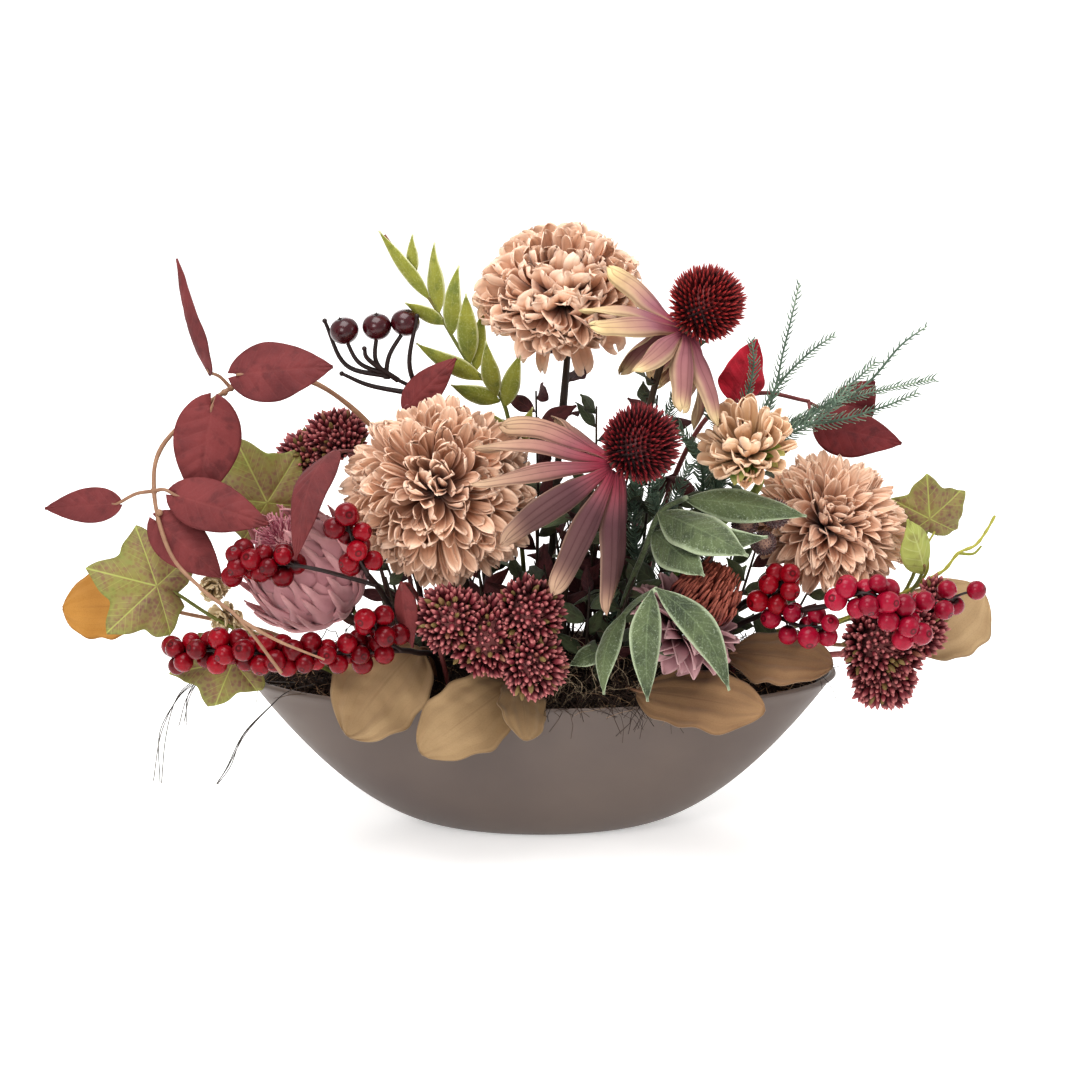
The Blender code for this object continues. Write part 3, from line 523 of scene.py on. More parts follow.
def makeBowl():
    top, wall = bowlShape["height"], bowlShape["wall"]
    levels = top * np.linspace(0, 1, 34) ** 1.7
    outside = [(0.5, 0.6), (30, 0.6), (40, 0.5), (43.5, 0.0), (bowlShape["foot"] - 0.6, 0.0)]
    outside += [(bowlReach(z), z) for z in levels[1:-1] if z < top - wall / 2]
    middle = bowlReach(top) - wall / 2
    rim = [(middle + wall / 2 * math.cos(a), top - wall / 2 + wall / 2 * math.sin(a))
           for a in np.linspace(0, math.pi, 9)]
    inside = [(bowlReach(z) - wall, z + 0.8) for z in levels[-4::-1] if z > wall]
    profile = outside + rim + [p for p in inside if p[1] < top - wall] + [(40, wall), (0.5, wall)]
    points, faces, tall = spindle(profile, 160)
    points[:, 1] *= bowlShape["ratio"]
    finish = newFinish("taupe_glaze", bowlRecipe, {"Coat Weight": 0.12, "Coat Roughness": 0.35})
    Bundle().add(points, faces, marksOf(points, 0, points[:, 2] / top, 0), 0.5).build(
        "bowl_shell", finish, ["bowl"], slot="bowl")


makeBowl()
nodes["foam_block"].data.materials.clear()
nodes["foam_block"].data.materials.append(newFinish("flower_foam", foamRecipe))
print("bowl made")

# Moss: a mound of matted root fibre with loose strands that spill over the rim
fibreFinish = newFinish("root_fibre", plainRecipe("1C1310", "4E382B", other="A08468", otherFrom=0.84,
                                                  grain=500,
                                                  roughFrom=0.7))
wispFinish = newFinish("pale_wisps", plainRecipe("6B5A4A", "BBA88C", grain=400, roughFrom=0.6))
mossShape = {"reach": 137.5, "ratio": 0.405, "strands": 6000, "spill": 80, "loops": 1200, "wisps": 260}


def mossReach(x, y, ratio=mossShape["ratio"]):
    return np.sqrt(x ** 2 + (y / ratio) ** 2)


def mossHeight(x, y):
    return np.interp(mossReach(x, y), [0, 70, 118, 137.5, 142], [90, 88, 82, 76, 70])


def keepInside(knots, limit, ratio):
    # draws strands back inside an oval
    reach = mossReach(knots[..., 0], knots[..., 1], ratio)
    knots[..., :2] *= np.minimum(1, limit / np.maximum(reach, 1))[..., None]


def curls(x, y, steps, pace, climb):
    # strands that wander from these places and stand up to this height over the mat
    count = len(x)
    pull = np.minimum(1, 128 / np.maximum(mossReach(x, y), 1))
    speed = unit(rng.normal(0, 1, (count, 3)) * [1, 0.7, 0.45])
    knots = np.zeros((count, steps, 3))
    knots[:, 0] = np.stack([x * pull, y * pull, mossHeight(x * pull, y * pull)], axis=1)
    for k in range(1, steps):
        speed = unit(speed + rng.normal(0, 0.42, (count, 3)) + [0, 0, -0.02 * k])
        knots[:, k] = knots[:, k - 1] + speed * pace
        low = mossHeight(knots[:, k, 0], knots[:, k, 1])
        knots[:, k, 2] = np.clip(knots[:, k, 2], low - 2, low + climb)
    keepInside(knots, 136, 0.42)
    return knots


def makeMoss():
    heap, ratio = Bundle(), mossShape["ratio"]
    r = np.linspace(0.01, 1, 46)[:, None] * mossShape["reach"]
    turn = np.arange(180) * fullTurn / 180
    x, y = r * np.cos(turn), r * np.sin(turn) * ratio
    lump = (np.sin(x * 0.31 + 2 * np.sin(y * 0.2)) + np.sin(y * 0.47 + 1.7 * np.sin(x * 0.13))
            + np.sin(x * 0.9 + y * 1.1) * 0.5) * 1.1 * (1 - (r / mossShape["reach"]) ** 4)
    z = mossHeight(x, y) + lump - 3.0 + noiseTable(x.shape, 0.5)
    heap.sheets(np.stack([x, y, z], axis=-1)[None], np.array([0.5, 0.2, 0.1]), wrap=True)

    count = mossShape["strands"]
    reach = np.sqrt(rng.uniform(0, 1, (count, 1))) * 136
    turn = rng.uniform(0, fullTurn, (count, 1))
    heading = rng.uniform(0, fullTurn, (count, 1)) + rng.normal(0, 0.28, (count, 8)).cumsum(axis=1)
    step = rng.uniform(1.6, 4.6, (count, 1))
    knots = np.zeros((count, 9, 3))
    knots[:, 1:, 0] = (np.cos(heading) * step).cumsum(axis=1)
    knots[:, 1:, 1] = (np.sin(heading) * step).cumsum(axis=1)
    knots[..., 0] += reach * np.cos(turn)
    knots[..., 1] += reach * np.sin(turn) * ratio
    keepInside(knots, 141, ratio)
    lift = np.abs(rng.normal(0, 1.5, (count, 1))) + np.abs(rng.normal(0, 0.7, (count, 9))) - 1.2
    knots[..., 2] = mossHeight(knots[..., 0], knots[..., 1]) + lift
    thickness = rng.uniform(0.14, 0.34, (count, 1))
    for number, chosen in enumerate(np.array_split(np.arange(count), 3), 1):
        strands = Bundle().tubes(knots[chosen], thickness[chosen], 4)
        strands.build("moss_strands_" + str(number), fibreFinish, slot="moss")

    # curly loops that stand proud of the mat, thickest at the front
    half = mossShape["loops"] // 2
    x = np.concatenate([rng.normal(22, 20, half), rng.uniform(-125, 125, half)])
    y = np.concatenate([rng.normal(-40, 7, half), rng.uniform(-50, 50, half)])
    heap.tubes(curls(x, y, 15, 3.1, 15), rng.uniform(0.13, 0.30, (2 * half, 1)), 4)
    count = mossShape["wisps"]
    wisps = curls(rng.normal(20, 17, count), rng.normal(-44, 6, count), 18, 3.8, 27)
    Bundle().tubes(wisps, rng.uniform(0.10, 0.19, (count, 1)), 4).build("moss_wisps", wispFinish, slot="moss")

    # strands that hang over the front and the back of the rim
    count = mossShape["spill"]
    front = count * 3 // 5
    turn = np.concatenate([rng.normal(-1.30, 0.16, front), rng.uniform(-math.pi, math.pi, count - front)])
    turn = np.stack([np.cos(turn), np.sin(turn)], axis=1)
    away = unit(turn / [1, bowlShape["ratio"]])
    edge = turn * [149.6, 149.6 * bowlShape["ratio"]]
    t = np.linspace(0, 1, 10)
    out = rng.uniform(3, 9, (count, 1))
    drop = 1.5 + 15 * rng.uniform(0, 1, (count, 1)) ** 3
    far = -16 + (16 + out) * t
    sway = np.sin(t * rng.uniform(3, 8, (count, 1)) + rng.uniform(0, 6, (count, 1)))
    sway = sway * rng.uniform(3.0, 11.0, (count, 1))
    tangent = np.stack([-away[:, 1], away[:, 0]], axis=1)
    knots = np.zeros((count, 10, 3))
    knots[..., :2] = edge[:, None] + away[:, None] * far[..., None] + tangent[:, None] * sway[..., None]
    over = np.clip(far / np.maximum(out, 1), 0, 1) ** 1.6 * drop
    knots[..., 2] = 82.4 + 4.4 * np.sin(np.clip(far + 16, 0, 16) / 16 * math.pi) - over
    knots[..., 2] += np.sin(t * 11 + rng.uniform(0, 6, (count, 1))) * 0.8
    heap.tubes(knots, rng.uniform(0.09, 0.17, (count, 1)), 4)
    heap.build("moss_fibres", fibreFinish, ["moss_mat"], slot="moss")


makeMoss()
print("moss made")

# Packed flower heads: petals spiral out from a small core to a flattened dome
petalRows = 1 - (1 - np.linspace(0, 1, 11)) ** 1.55  # rows sit closer together towards the tip


def roundTip(u, claw=0.34, broad=0.80, power=0.55, fall=2, end=1.002, swell=0.95):
    # a petal's width along its length: a claw, a broad part and a tip
    body = claw + (1 - claw) * easeBetween(0, broad * swell, u)
    return body * np.clip(1 - np.clip((u - broad) / (end - broad), 0, 1) ** fall, 0, 1) ** power


def pointTip(u, claw=0.4, broad=0.45, power=0.85):
    return roundTip(u, claw, broad, power, 1.5, 1.004, 1)


def packPetals(axis, centre, radius, front, back, count, reach, width, outline=roundTip, nearest=0.0,
               core=0.24,
               bulge=(0.20, -0.26), cup=0.45, curl=(0.10, 0.02), ruffle=0.05, notch=0.05, jitter=0.05,
               narrow=0.75, chaos=0.3, sag=0.0):
    # one head's petals as sheets, with marks and depth
    def vary(amount):
        return noiseTable((count, 1, 1), amount)

    k = np.arange(count)[:, None, None]
    first, last = math.cos(math.radians(nearest)), math.cos(math.radians(reach))
    lean = np.arccos(first - (k + 0.5) / count * (first - last))
    turn = k * golden + vary(0.10 + 0.15 * chaos)
    lean = np.maximum(lean + vary(0.04 + 0.09 * chaos), 0.02)
    size = 1 + vary(jitter)
    tip = radius * np.sin(lean) * size, np.where(np.cos(lean) > 0, front, back) * np.cos(lean) * size
    foot = core * radius * np.sin(lean * 0.95), -0.10 * radius + core * 0.5 * radius * np.cos(lean)
    part = lean / math.radians(reach)
    # the middle of each petal bows away from the head's axis near the centre and over it near the edge
    spanR, spanZ = tip[0] - foot[0], tip[1] - foot[1]
    bow = (bulge[0] * easeBetween(0, 0.22, part) + (bulge[1] - bulge[0]) * part) * radius
    bow = (bow + vary(0.09 * chaos) * radius) / np.hypot(spanR, spanZ)
    middle = foot[0] + spanR * 0.55 + spanZ * bow, foot[1] + spanZ * 0.55 - spanR * bow
    u, v = petalRows[:, None], np.linspace(-1, 1, 7)
    lineR, lineZ = ((1 - u) ** 2 * a + 2 * u * (1 - u) * b + u ** 2 * c for a, b, c in zip(foot, middle, tip))
    slopeR, slopeZ = (2 * (1 - u) * (b - a) + 2 * u * (c - b) for a, b, c in zip(foot, middle, tip))
    slope = np.hypot(slopeR, slopeZ) + 1e-6
    slopeR, slopeZ = slopeR / slope, slopeZ / slope
    wide = width * (narrow + (1 - narrow) * np.minimum(1, part * 2.2)) * (1 + vary(0.10 + 0.16 * chaos))
    half = wide / 2 * outline(u)
    curling = (curl[0] + (curl[1] - curl[0]) * part + vary(0.04)) * radius
    bend = cup * (1 + vary(0.35)) * half * (v ** 2 - 0.25) * (0.4 + 0.6 * u)
    wave = np.sin(v * 4.2 + rng.uniform(0, 6.3, (count, 1, 1))) * ruffle * wide * u ** 2
    wave = wave + np.sin(v * 9 + u * 5 + rng.uniform(0, 6.3, (count, 1, 1))) * ruffle * 0.35 * wide * u ** 3
    roll = vary(0.25 + 0.5 * chaos) * (0.4 + 0.6 * u)
    lift = bend + wave + curling * u ** 4 + half * v * np.sin(roll)
    pull = notch * wide * u ** 8 * np.cos(v * math.pi / 2) * (1 + vary(0.8))
    lineR = lineR - slopeZ * lift - slopeR * pull
    lineZ = lineZ + slopeR * lift - slopeZ * pull
    sideways = half * v * np.cos(roll) + vary(0.11 * chaos) * radius * u ** 2
    c, s = np.cos(turn), np.sin(turn)
    points = np.stack([lineR * c - sideways * s, lineR * s + sideways * c, lineZ + 0 * v], axis=-1)
    points = points @ turnTo(axis).T + np.asarray(centre, float)
    points[..., 2] -= sag * (1 + vary(0.5)) * u ** 2
    marks = marksOf(points, v, u, rng.uniform(0, 1, (count, 1, 1)))
    # depth is low at each petal's foot and near the middle of the head; it sets how much painted shade a
    # petal takes
    return points, marks, np.broadcast_to(u * (0.55 + 0.45 * np.minimum(1, part * 1.5)), points.shape[:3])


def behindHead(bundle, axis, centre, radius, back):
    # green sepals that hold a head from behind, and the cup that the stem enters
    bundle.sheets(*packPetals(axis, centre, radius * 0.55, 0, back * 1.06, 12, 178, radius * 0.24, pointTip,
                              nearest=122, core=0.2, bulge=(-0.1, -0.1), cup=0.3, curl=(0, 0), ruffle=0.04,
                              notch=0))
    cup = [(0.5, -back * 1.02), (4.2, -back * 0.98), (6.5, -back * 0.7), (8.5, -back * 0.35), (5, 0)]
    bundle.stamp(spindle(cup, 14), axis, centre, tone=0.5)


sepalFinish = newFinish("sepal_green", plainRecipe("4A4B26", "6F6A38", tip="7A4A38", grain=160))
mumFinish = newFinish("peach_petal_cloth", petalRecipe(
    "9E5A40", "DAA888", "F0CEB4", "F8DFCC", "743E2A", ribs=5, ribShare=0.12, rimShare=0.3, shadowShare=0.85),
    {"Sheen Weight": 0.25})
mums = {
    "mum_left": {"centre": (-48, -42, 186), "axis": (0.16, -0.86, 0.44), "radius": 44.5, "count": 440,
                 "width": 9.0, "bulge": (0.10, -0.10), "curl": (0.02, 0.12), "cup": 0.7, "front": 0.62,
                 "chaos": 1.25},
    "mum_top": {"centre": (10.5, 20, 271), "axis": (-0.12, -0.55, 0.83), "radius": 40, "count": 280,
                "width": 12.5, "bulge": (0.16, -0.10), "curl": (0.06, 0.14), "cup": 0.8, "front": 0.72,
                "chaos": 1.2},
    "mum_right": {"centre": (142, -15, 162), "axis": (0.12, -0.62, 0.78), "radius": 39, "count": 430,
                  "width": 8.0, "bulge": (0.08, -0.16), "curl": (0.02, 0.04), "cup": 0.7, "front": 0.62,
                  "chaos": 1.0}}


def makeMum(name, centre, axis, radius, count, width, front, **lie):
    head, hold = Bundle(), Bundle()
    outline = (lambda u: pointTip(u, 0.5, 0.62, 0.6)) if name == "mum_right" else roundTip
    head.sheets(*packPetals(axis, centre, radius * 0.985, radius * front, radius * 0.44, count, 130, width,
                            outline,
                            ruffle=0.11, notch=0.16, jitter=0.11, core=0.16, sag=2.5, **lie))
    if name == "mum_top":  # loose petals that hang below the head
        head.sheets(*packPetals(axis, centre, radius * 0.9, radius * 0.5, radius * 0.95, 16, 146, 13, outline,
                                nearest=112, bulge=(-0.1, -0.2), curl=(0.05, 0.10), cup=0.9, ruffle=0.10,
                                notch=0.3,
                                jitter=0.12, chaos=1.2))
    head.build(name + "_petals", mumFinish, [name + "_head"], thickness=0.14, slot="blush_fabric")
    behindHead(hold, axis, centre, radius, radius * 0.42)
    hold.build(name + "_sepals", sepalFinish, thickness=0.35, slot="stem")


for name, mum in mums.items():
    makeMum(name, **mum)
print("mums made")


def headStem(root, centre, axis, seat, approach=26):
    # the points that a flower's stem takes from the foam to its head
    end = np.asarray(centre, float) + unit(axis) * seat
    return [*root, end - unit(axis) * approach, end]


# The half-open bud beside the lamb's ear leaves, on its own stem
budShape = {"centre": (98.5, -46, 206), "axis": (-0.2, -0.6, 0.77)}
budStem = [(54, -14, 42), (54, -14, 94), (70, -12, 140)]
budFinish = newFinish("cream_bud_cloth", petalRecipe(
    "98924E", "DDB890", "F0CDAE", "F6DEC4", "8A5E3C", rimShare=0.3), {"Sheen Weight": 0.2})
greenSepalFinish = newFinish("bright_sepal", plainRecipe("5E7A34", "88A04C", tip="B8B070", grain=160))


def makeBud(centre, axis):
    head, hold = Bundle(), Bundle()
    head.sheets(*packPetals(axis, centre, 22.5, 23, 12, 84, 104, 7.2, core=0.08, bulge=(0.16, 0.04),
                            curl=(0.0, 0.12),
                            cup=1.1, ruffle=0.10, narrow=0.9, jitter=0.2, chaos=1.2))
    head.build("mum_bud_petals", budFinish, ["mum_bud"], thickness=0.3, slot="blush_fabric")
    hold.sheets(*packPetals(axis, centre, 19, 8, 15, 16, 112, 8.5, pointTip, nearest=86, core=0.3,
                            bulge=(-0.24, -0.24), cup=0.35, curl=(0, 0), ruffle=0.04, notch=0))
    hold.cane(headStem(budStem, centre, axis, -6), 1.9, 1.9, 10, 0.3, 10)
    hold.stamp(spindle([(1, -16), (5, -14), (8, -9), (9, -4), (4, 0)], 14), axis, centre, tone=0.5)
    hold.build("mum_bud_sepals", greenSepalFinish, thickness=0.3, slot="stem")


makeBud(**budShape)

# Coneflowers: strap petals that droop from a hub, and a cone of stiff spikes
coneflowers = {
    "coneflower_front": {"hub": (35, -70, 203.5), "axis": (0.65, -0.357, 0.676), "length": 66,
                         "droop": (28, 40, 48),
                         "bent": {8: 14, 9: 20, 10: 12}, "width": 13.2},
    "coneflower_top": {"hub": (68.7, -31, 260), "axis": (0.56, -0.244, 0.79), "length": 48,
                       "droop": (8, 22, 36),
                       "bent": {0: 45, 1: 55, 2: -8, 3: 6, 8: 30, 9: 40, 10: 45}, "width": 14.0}}
coneShape = {"petals": 11, "radius": 18.6, "lift": 17.0, "spikes": 430}
strapFinishes = {
    "coneflower_front": newFinish("mauve_strap_cloth", petalRecipe(
        "8E1E3A", "94585E", "C4A686", "C4A68C", "3C161C", ribs=7, ribShare=0.5, edgeFrom=0.8, rimShare=0.35,
        hangingShadowColour="44262E", stops=(0.08, 0.30, 0.92))),
    "coneflower_top": newFinish("rose_strap_cloth", petalRecipe(
        "8A2440", "9C6870", "D8C088", "E4D2A2", "5E2C30", ribs=7, ribShare=0.4, edgeFrom=0.6, rimShare=0.55,
        hangingShadowColour="8E5C60", stops=(0.05, 0.35, 0.97)))}
spikeFinishes = {
    "coneflower_top": newFinish("red_spikes", plainRecipe(
        "26060A", "560E12", tip="A22A28", tipFrom=0.4, grain=400, roughFrom=0.4, bump=0.1)),
    "coneflower_front": newFinish("maroon_spikes", plainRecipe(
        "1C0507", "3E0A10", tip="8E1C24", tipFrom=0.4, grain=400, roughFrom=0.4, bump=0.1),
        {"Coat Weight": 0.15, "Coat Roughness": 0.3})}


def strapPetals(hub, axis, length, droop, bent, width, rows=26, cols=11):
    # petals as sheets, following the slope of each third of their length
    count = coneShape["petals"]
    frameTurn = np.array(Vector(axis).to_track_quat("Z", "Y").to_matrix())
    u, v = np.linspace(0, 1, rows), np.linspace(-1, 1, cols)
    sheets = []
    for k in range(count):
        turn = (k + 0.5) * fullTurn / count
        out = np.array([math.cos(turn), math.sin(turn), 0])
        across = np.array([-out[1], out[0], 0])
        slope = np.interp(u, [0, 0.33, 0.67, 1], [droop[0], *droop]) + bent.get(k, 0) * np.minimum(1, u * 4)
        slope = np.radians(slope) + np.radians(rng.uniform(-9, 14)) * u ** 2 * 1.6
        step = length / (rows - 1)
        reach = (4 + np.cumsum(np.cos(slope) * step) - step)[:, None]
        drop = (np.cumsum(np.sin(slope) * step) - 1.2)[:, None]
        shape = (0.36 + 0.64 * easeBetween(0.0, 0.5, u)) * (1 - 0.28 * easeBetween(0.6, 1, u))
        tip = np.clip(1 - np.clip((u - 0.88) / 0.122, 0, 1) ** 2.2, 0, 1) ** 0.6
        half = (width / 2 * rng.uniform(0.86, 1.12) * shape * tip)[:, None]
        roll = (rng.uniform(-0.7, 0.7) * u + rng.uniform(-0.9, 0.9) * u ** 2)[:, None]
        t = u[:, None]
        folds = np.cos(v * 3 * math.pi) * 0.55 * np.sin(math.pi * np.clip(t * 1.1, 0, 1))
        lift = -(v ** 2) * half * rng.uniform(0.25, 0.75) + folds + np.sin(t * 9 + k) * 0.5
        lift = lift + np.sin(t * 14 + v * 2 + k * 2) * 0.35 * abs(v)
        side = half * v * np.cos(roll) - lift * np.sin(roll) + rng.uniform(-4.5, 4.5) * t ** 2
        high = half * v * np.sin(roll) + lift * np.cos(roll)
        notch = 1.6 * np.cos(v * 2.2 * math.pi) * t ** 10
        c, s = np.cos(slope)[:, None], np.sin(slope)[:, None]
        points = out * (reach + high * s + notch * c)[..., None] + across * side[..., None]
        points[..., 2] += high * c - drop - notch * s
        sheets.append(points)
    points = np.array(sheets) @ frameTurn.T + np.asarray(hub, float)
    low = (hub[2] - points[:, -1, cols // 2, 2]) / length  # petals that hang take more of the painted shade
    tone = np.clip(0.42 + 0.6 * low + noiseTable(count, 0.15), 0, 1)
    return points, marksOf(points, v, u[:, None], tone[:, None, None])


def spikyCone(axis, centre, radius, count):
    cone, turn = Bundle(), turnTo(axis).T
    cone.stamp(ball(16, 32), axis, centre, radius * 0.72, 0.0)
    local = fanOut(count, 158)
    k = np.arange(count) / count
    heading = unit(local + np.array([0, 0, 1.0]) * (0.30 + 0.25 * k)[:, None] + noiseTable((count, 3), 0.10))
    spike = spindle([(1.0, 0), (0.9, 0.4), (0.62, 0.7), (0.30, 0.9), (0.04, 1.0)], 6)
    turns = turnsTo(heading @ turn)
    size = radius * (0.42 - 0.08 * k) * (1 + noiseTable(count, 0.12))
    sizes = np.stack([np.full(count, 0.88), np.full(count, 0.88), size], axis=1)
    return cone.stamps(spike, turns, local @ turn * radius * 0.66 + centre, sizes, rng.uniform(0, 1, count))


for name, flower in coneflowers.items():
    petals = Bundle().sheets(*strapPetals(**flower))
    petals.build(name + "_straps", strapFinishes[name], [name + "_petals"], thickness=0.3,
                 slot="mauve_fabric")
    centre = flower["hub"] + unit(flower["axis"]) * coneShape["lift"]
    cone = spikyCone(unit(flower["axis"]), centre, coneShape["radius"], coneShape["spikes"])
    cone.build(name + "_spikes", spikeFinishes[name], [name + "_cone"], slot="cone")
print("coneflowers made")

# Proteas: overlapping pointed bracts, one closed and one open round a tuft of stamens
bractFinish = newFinish("dusty_bract_cloth", petalRecipe(
    "A06A72", "C08C90", "CFA09E", "B06C72", "7A404A", edgeFrom=0.8, rimShare=0.35, patchShare=0.35),
    {"Sheen Weight": 0.2})
paleBractFinish = newFinish("mauve_bract_cloth", petalRecipe(
    "7A4650", "A87A80", "C0989A", "CDB0AC", "4A2428", edgeFrom=0.8, rimShare=0.35))
pinkTuftFinish = newFinish("pink_stamens", plainRecipe("8A3A50", "C06A80", tip="D89AA4", tipFrom=0.7,
                                                       grain=400))
tuftFinish = newFinish("rust_stamens", plainRecipe("34100F", "863630", tip="A8604E", tipFrom=0.6, grain=400))
twigFinish = newFinish("brown_twig", plainRecipe("2A1713", "54342A", grain=220, stretch=(1, 1, 0.4)))
proteaLeft = {"centre": (-110, -43, 142), "axis": (-0.45, -0.5, 0.74), "threads": 170,
              "root": [(-74, -12, 42), (-74, -12, 94), (-82, -16, 108)]}
proteaRight = {"centre": (70, -58, 124), "axis": (0.46, -0.35, 0.82), "tuftLift": 20.5, "threads": 330}
proteaScales = {"wide": 26.5, "high": 32.5, "low": 21, "count": 62, "length": 25, "width": 16, "lift": 8.5}


def thornScales(axis, centre, wide, high, low, count, length, width, lift):
    # scales that hug an egg-shaped body, with their sharp tips standing off it towards the top
    def vary(amount):
        return noiseTable((count, 1, 1), amount)

    k = np.arange(count)[:, None, None]
    lean = np.arccos(math.cos(0.62) - (k + 0.5) / count * (math.cos(0.62) - math.cos(2.15))) + vary(0.05)
    turn = k * golden + vary(0.16)
    u, v = np.linspace(0, 1, 12)[:, None], np.linspace(-1, 1, 9)
    long = length * (0.85 + 0.35 * easeBetween(1.5, 2.1, lean) + vary(0.10))
    lean = lean + (0.35 - u) * long / (wide + high) * 2
    tall = np.where(np.cos(lean) > 0, high, low)
    normR, normZ = np.sin(lean) / wide, np.cos(lean) / tall
    size = np.hypot(normR, normZ)
    half = width / 2 * (1 - easeBetween(0.15, 0.60, u) * 0.78) * np.clip((1.003 - u) / 0.3, 0, 1) ** 0.7
    off = 1.9 * (1 - v ** 2) * (1 - u) ** 0.7 + lift * (1 + vary(0.3)) * u ** 1.8 - 0.5 - 0.3 * np.abs(v)
    radial = wide * np.sin(lean)
    radial = radial + normR / size * off - (half * v) ** 2 / (2 * np.maximum(radial, 9))
    rise = tall * np.cos(lean) + normZ / size * off
    side = half * v + vary(1.2) * u ** 2
    c, s = np.cos(turn), np.sin(turn)
    local = np.stack([radial * c - side * s, radial * s + side * c, rise + 0 * v], axis=-1)
    marks = marksOf(local, v, 0.3 + 0.7 * u, rng.uniform(0, 1, (count, 1, 1)))
    # depth is low at the foot of each scale, most at its sides, where the scale takes painted shade
    return local @ turnTo(axis).T + centre, marks, 0.62 + 0.38 * u - 0.25 * np.abs(v) * (1 - u)


def makeProteaLeft(centre, axis, threads, root):
    wide, high, low = (proteaScales[key] for key in ("wide", "high", "low"))
    head = Bundle().sheets(*thornScales(axis, centre, **proteaScales))
    egg = [(wide * math.sin(a), (high if a < 1.6 else low) * math.cos(a)) for a in np.linspace(3.12, 0.02,
                                                                                               19)]
    head.stamp(spindle(egg, 30), axis, centre, depth=0.62)
    head.build("protea_left_bracts", bractFinish, ["protea_left"], thickness=0.8, slot="protea_fabric")
    top = centre + unit(axis) * 24
    local = fanOut(threads, 70) + noiseTable((threads, 3), 0.10)
    t = np.linspace(0, 1, 6)[:, None]
    tips = top + (local @ turnTo(axis).T) * rng.uniform(13, 19, (threads, 1))
    hairs = top * (1 - t) + tips[:, None] * t + noiseTable((threads, 6, 3), 0.5)
    hairs = Bundle().tubes(hairs, [0.34, 0.32, 0.3, 0.28, 0.3, 0.42], 4)
    hairs.build("protea_left_tuft", pinkTuftFinish, slot="stamen")
    stem = Bundle().cane(headStem(root, centre, axis, -8), 2.3, 2.3, 10, steps=10)
    stem.build("protea_left_stalk", twigFinish, slot="protea_fabric")


def makeProteaRight(centre, axis, tuftLift, threads):
    head = Bundle()
    head.sheets(*packPetals(axis, centre, 28, 16, 24, 74, 146, 13, lambda u: pointTip(u, 0.7, 0.35, 0.8),
                            nearest=46,
                            core=0.36, bulge=(-0.02, -0.12), cup=0.4, curl=(0.06, -0.12), ruffle=0.07,
                            notch=0,
                            narrow=0.9, jitter=0.12, chaos=0.9))
    head.build("protea_right_petals", paleBractFinish, ["protea_right_bracts"], thickness=0.5,
               slot="protea_fabric")
    turn, axis = turnTo(axis).T, unit(axis)
    local = fanOut(threads, 76) + noiseTable((threads, 3), 0.06)
    start = centre + axis * 4 + (local * [9, 9, 4]) @ turn
    tip = centre + axis * (tuftLift - 4) + (local * [14, 14, 19]) @ turn + noiseTable((threads, 3), 2.2)
    t = np.linspace(0, 1, 7)[:, None]
    bow = ((local * [1, 1, 0]) @ turn)[:, None] * 4.0 * np.sin(t * math.pi)
    routes = start[:, None] * (1 - t) + tip[:, None] * t + bow
    routes = routes + np.cumsum(noiseTable(routes.shape, 0.45), axis=1)
    tuft = Bundle().tubes(routes, [0.45, 0.5, 0.5, 0.5, 0.6, 0.8, 0.35], 5)
    tuft.build("protea_right_threads", tuftFinish, ["protea_right_stamens"], slot="stamen")


makeProteaLeft(**proteaLeft)
makeProteaRight(**proteaRight)
print("proteas made")

# Sedum: domes of small oval buds on fine stalks
sedums = {
    "sedum_front": {"stem": [(-14, -30, 42), (-14, -34, 92), (-19, -52, 108), (-23, -71, 119)],
                    "umbels": [((-25, -73.5, 121.3), 18, (0.1, -0.9, 0.35)),
                               ((-43, -75, 131), 15.5, (-0.3, -0.8, 0.5)),
                               ((-5, -74, 133), 16, (0.4, -0.8, 0.4)),
                               ((-3, -80, 109), 15, (0.4, -0.8, -0.2))]},
    "sedum_left": {"stem": [(-60, 18, 42), (-62, 20, 120), (-84, 18, 170), (-98, 14, 194)],
                   "umbels": [((-102, 12, 198), 16, (-0.3, -0.3, 0.9)),
                              ((-119, 11, 190), 12, (-0.6, -0.3, 0.7)),
                              ((-131, 10, 183), 8, (-0.8, -0.3, 0.4))]},
    "sedum_right": {"stem": [(96, -16, 42), (98, -18, 92), (128, -32, 98), (162, -48, 106)],
                    "umbels": [((166, -50, 110), 20, (0.3, -0.9, 0.2)),
                               ((182, -46, 118), 15, (0.6, -0.6, 0.5)),
                               ((167, -52, 93), 15, (0, -0.7, -0.6)),
                               ((193, -40, 131), 10, (0.6, -0.3, 0.7))]}}
sedumBud = {"size": [1.22, 1.22, 3.0], "spacing": 2.55, "cap": 128}
sedumFinish = newFinish("sedum_buds", plainRecipe("35090F", "8C3640", tip="BE7674", tipFrom=0.62, grain=200,
                                                  roughFrom=0.55, bump=0.2, other="7E6A40", otherFrom=0.9))


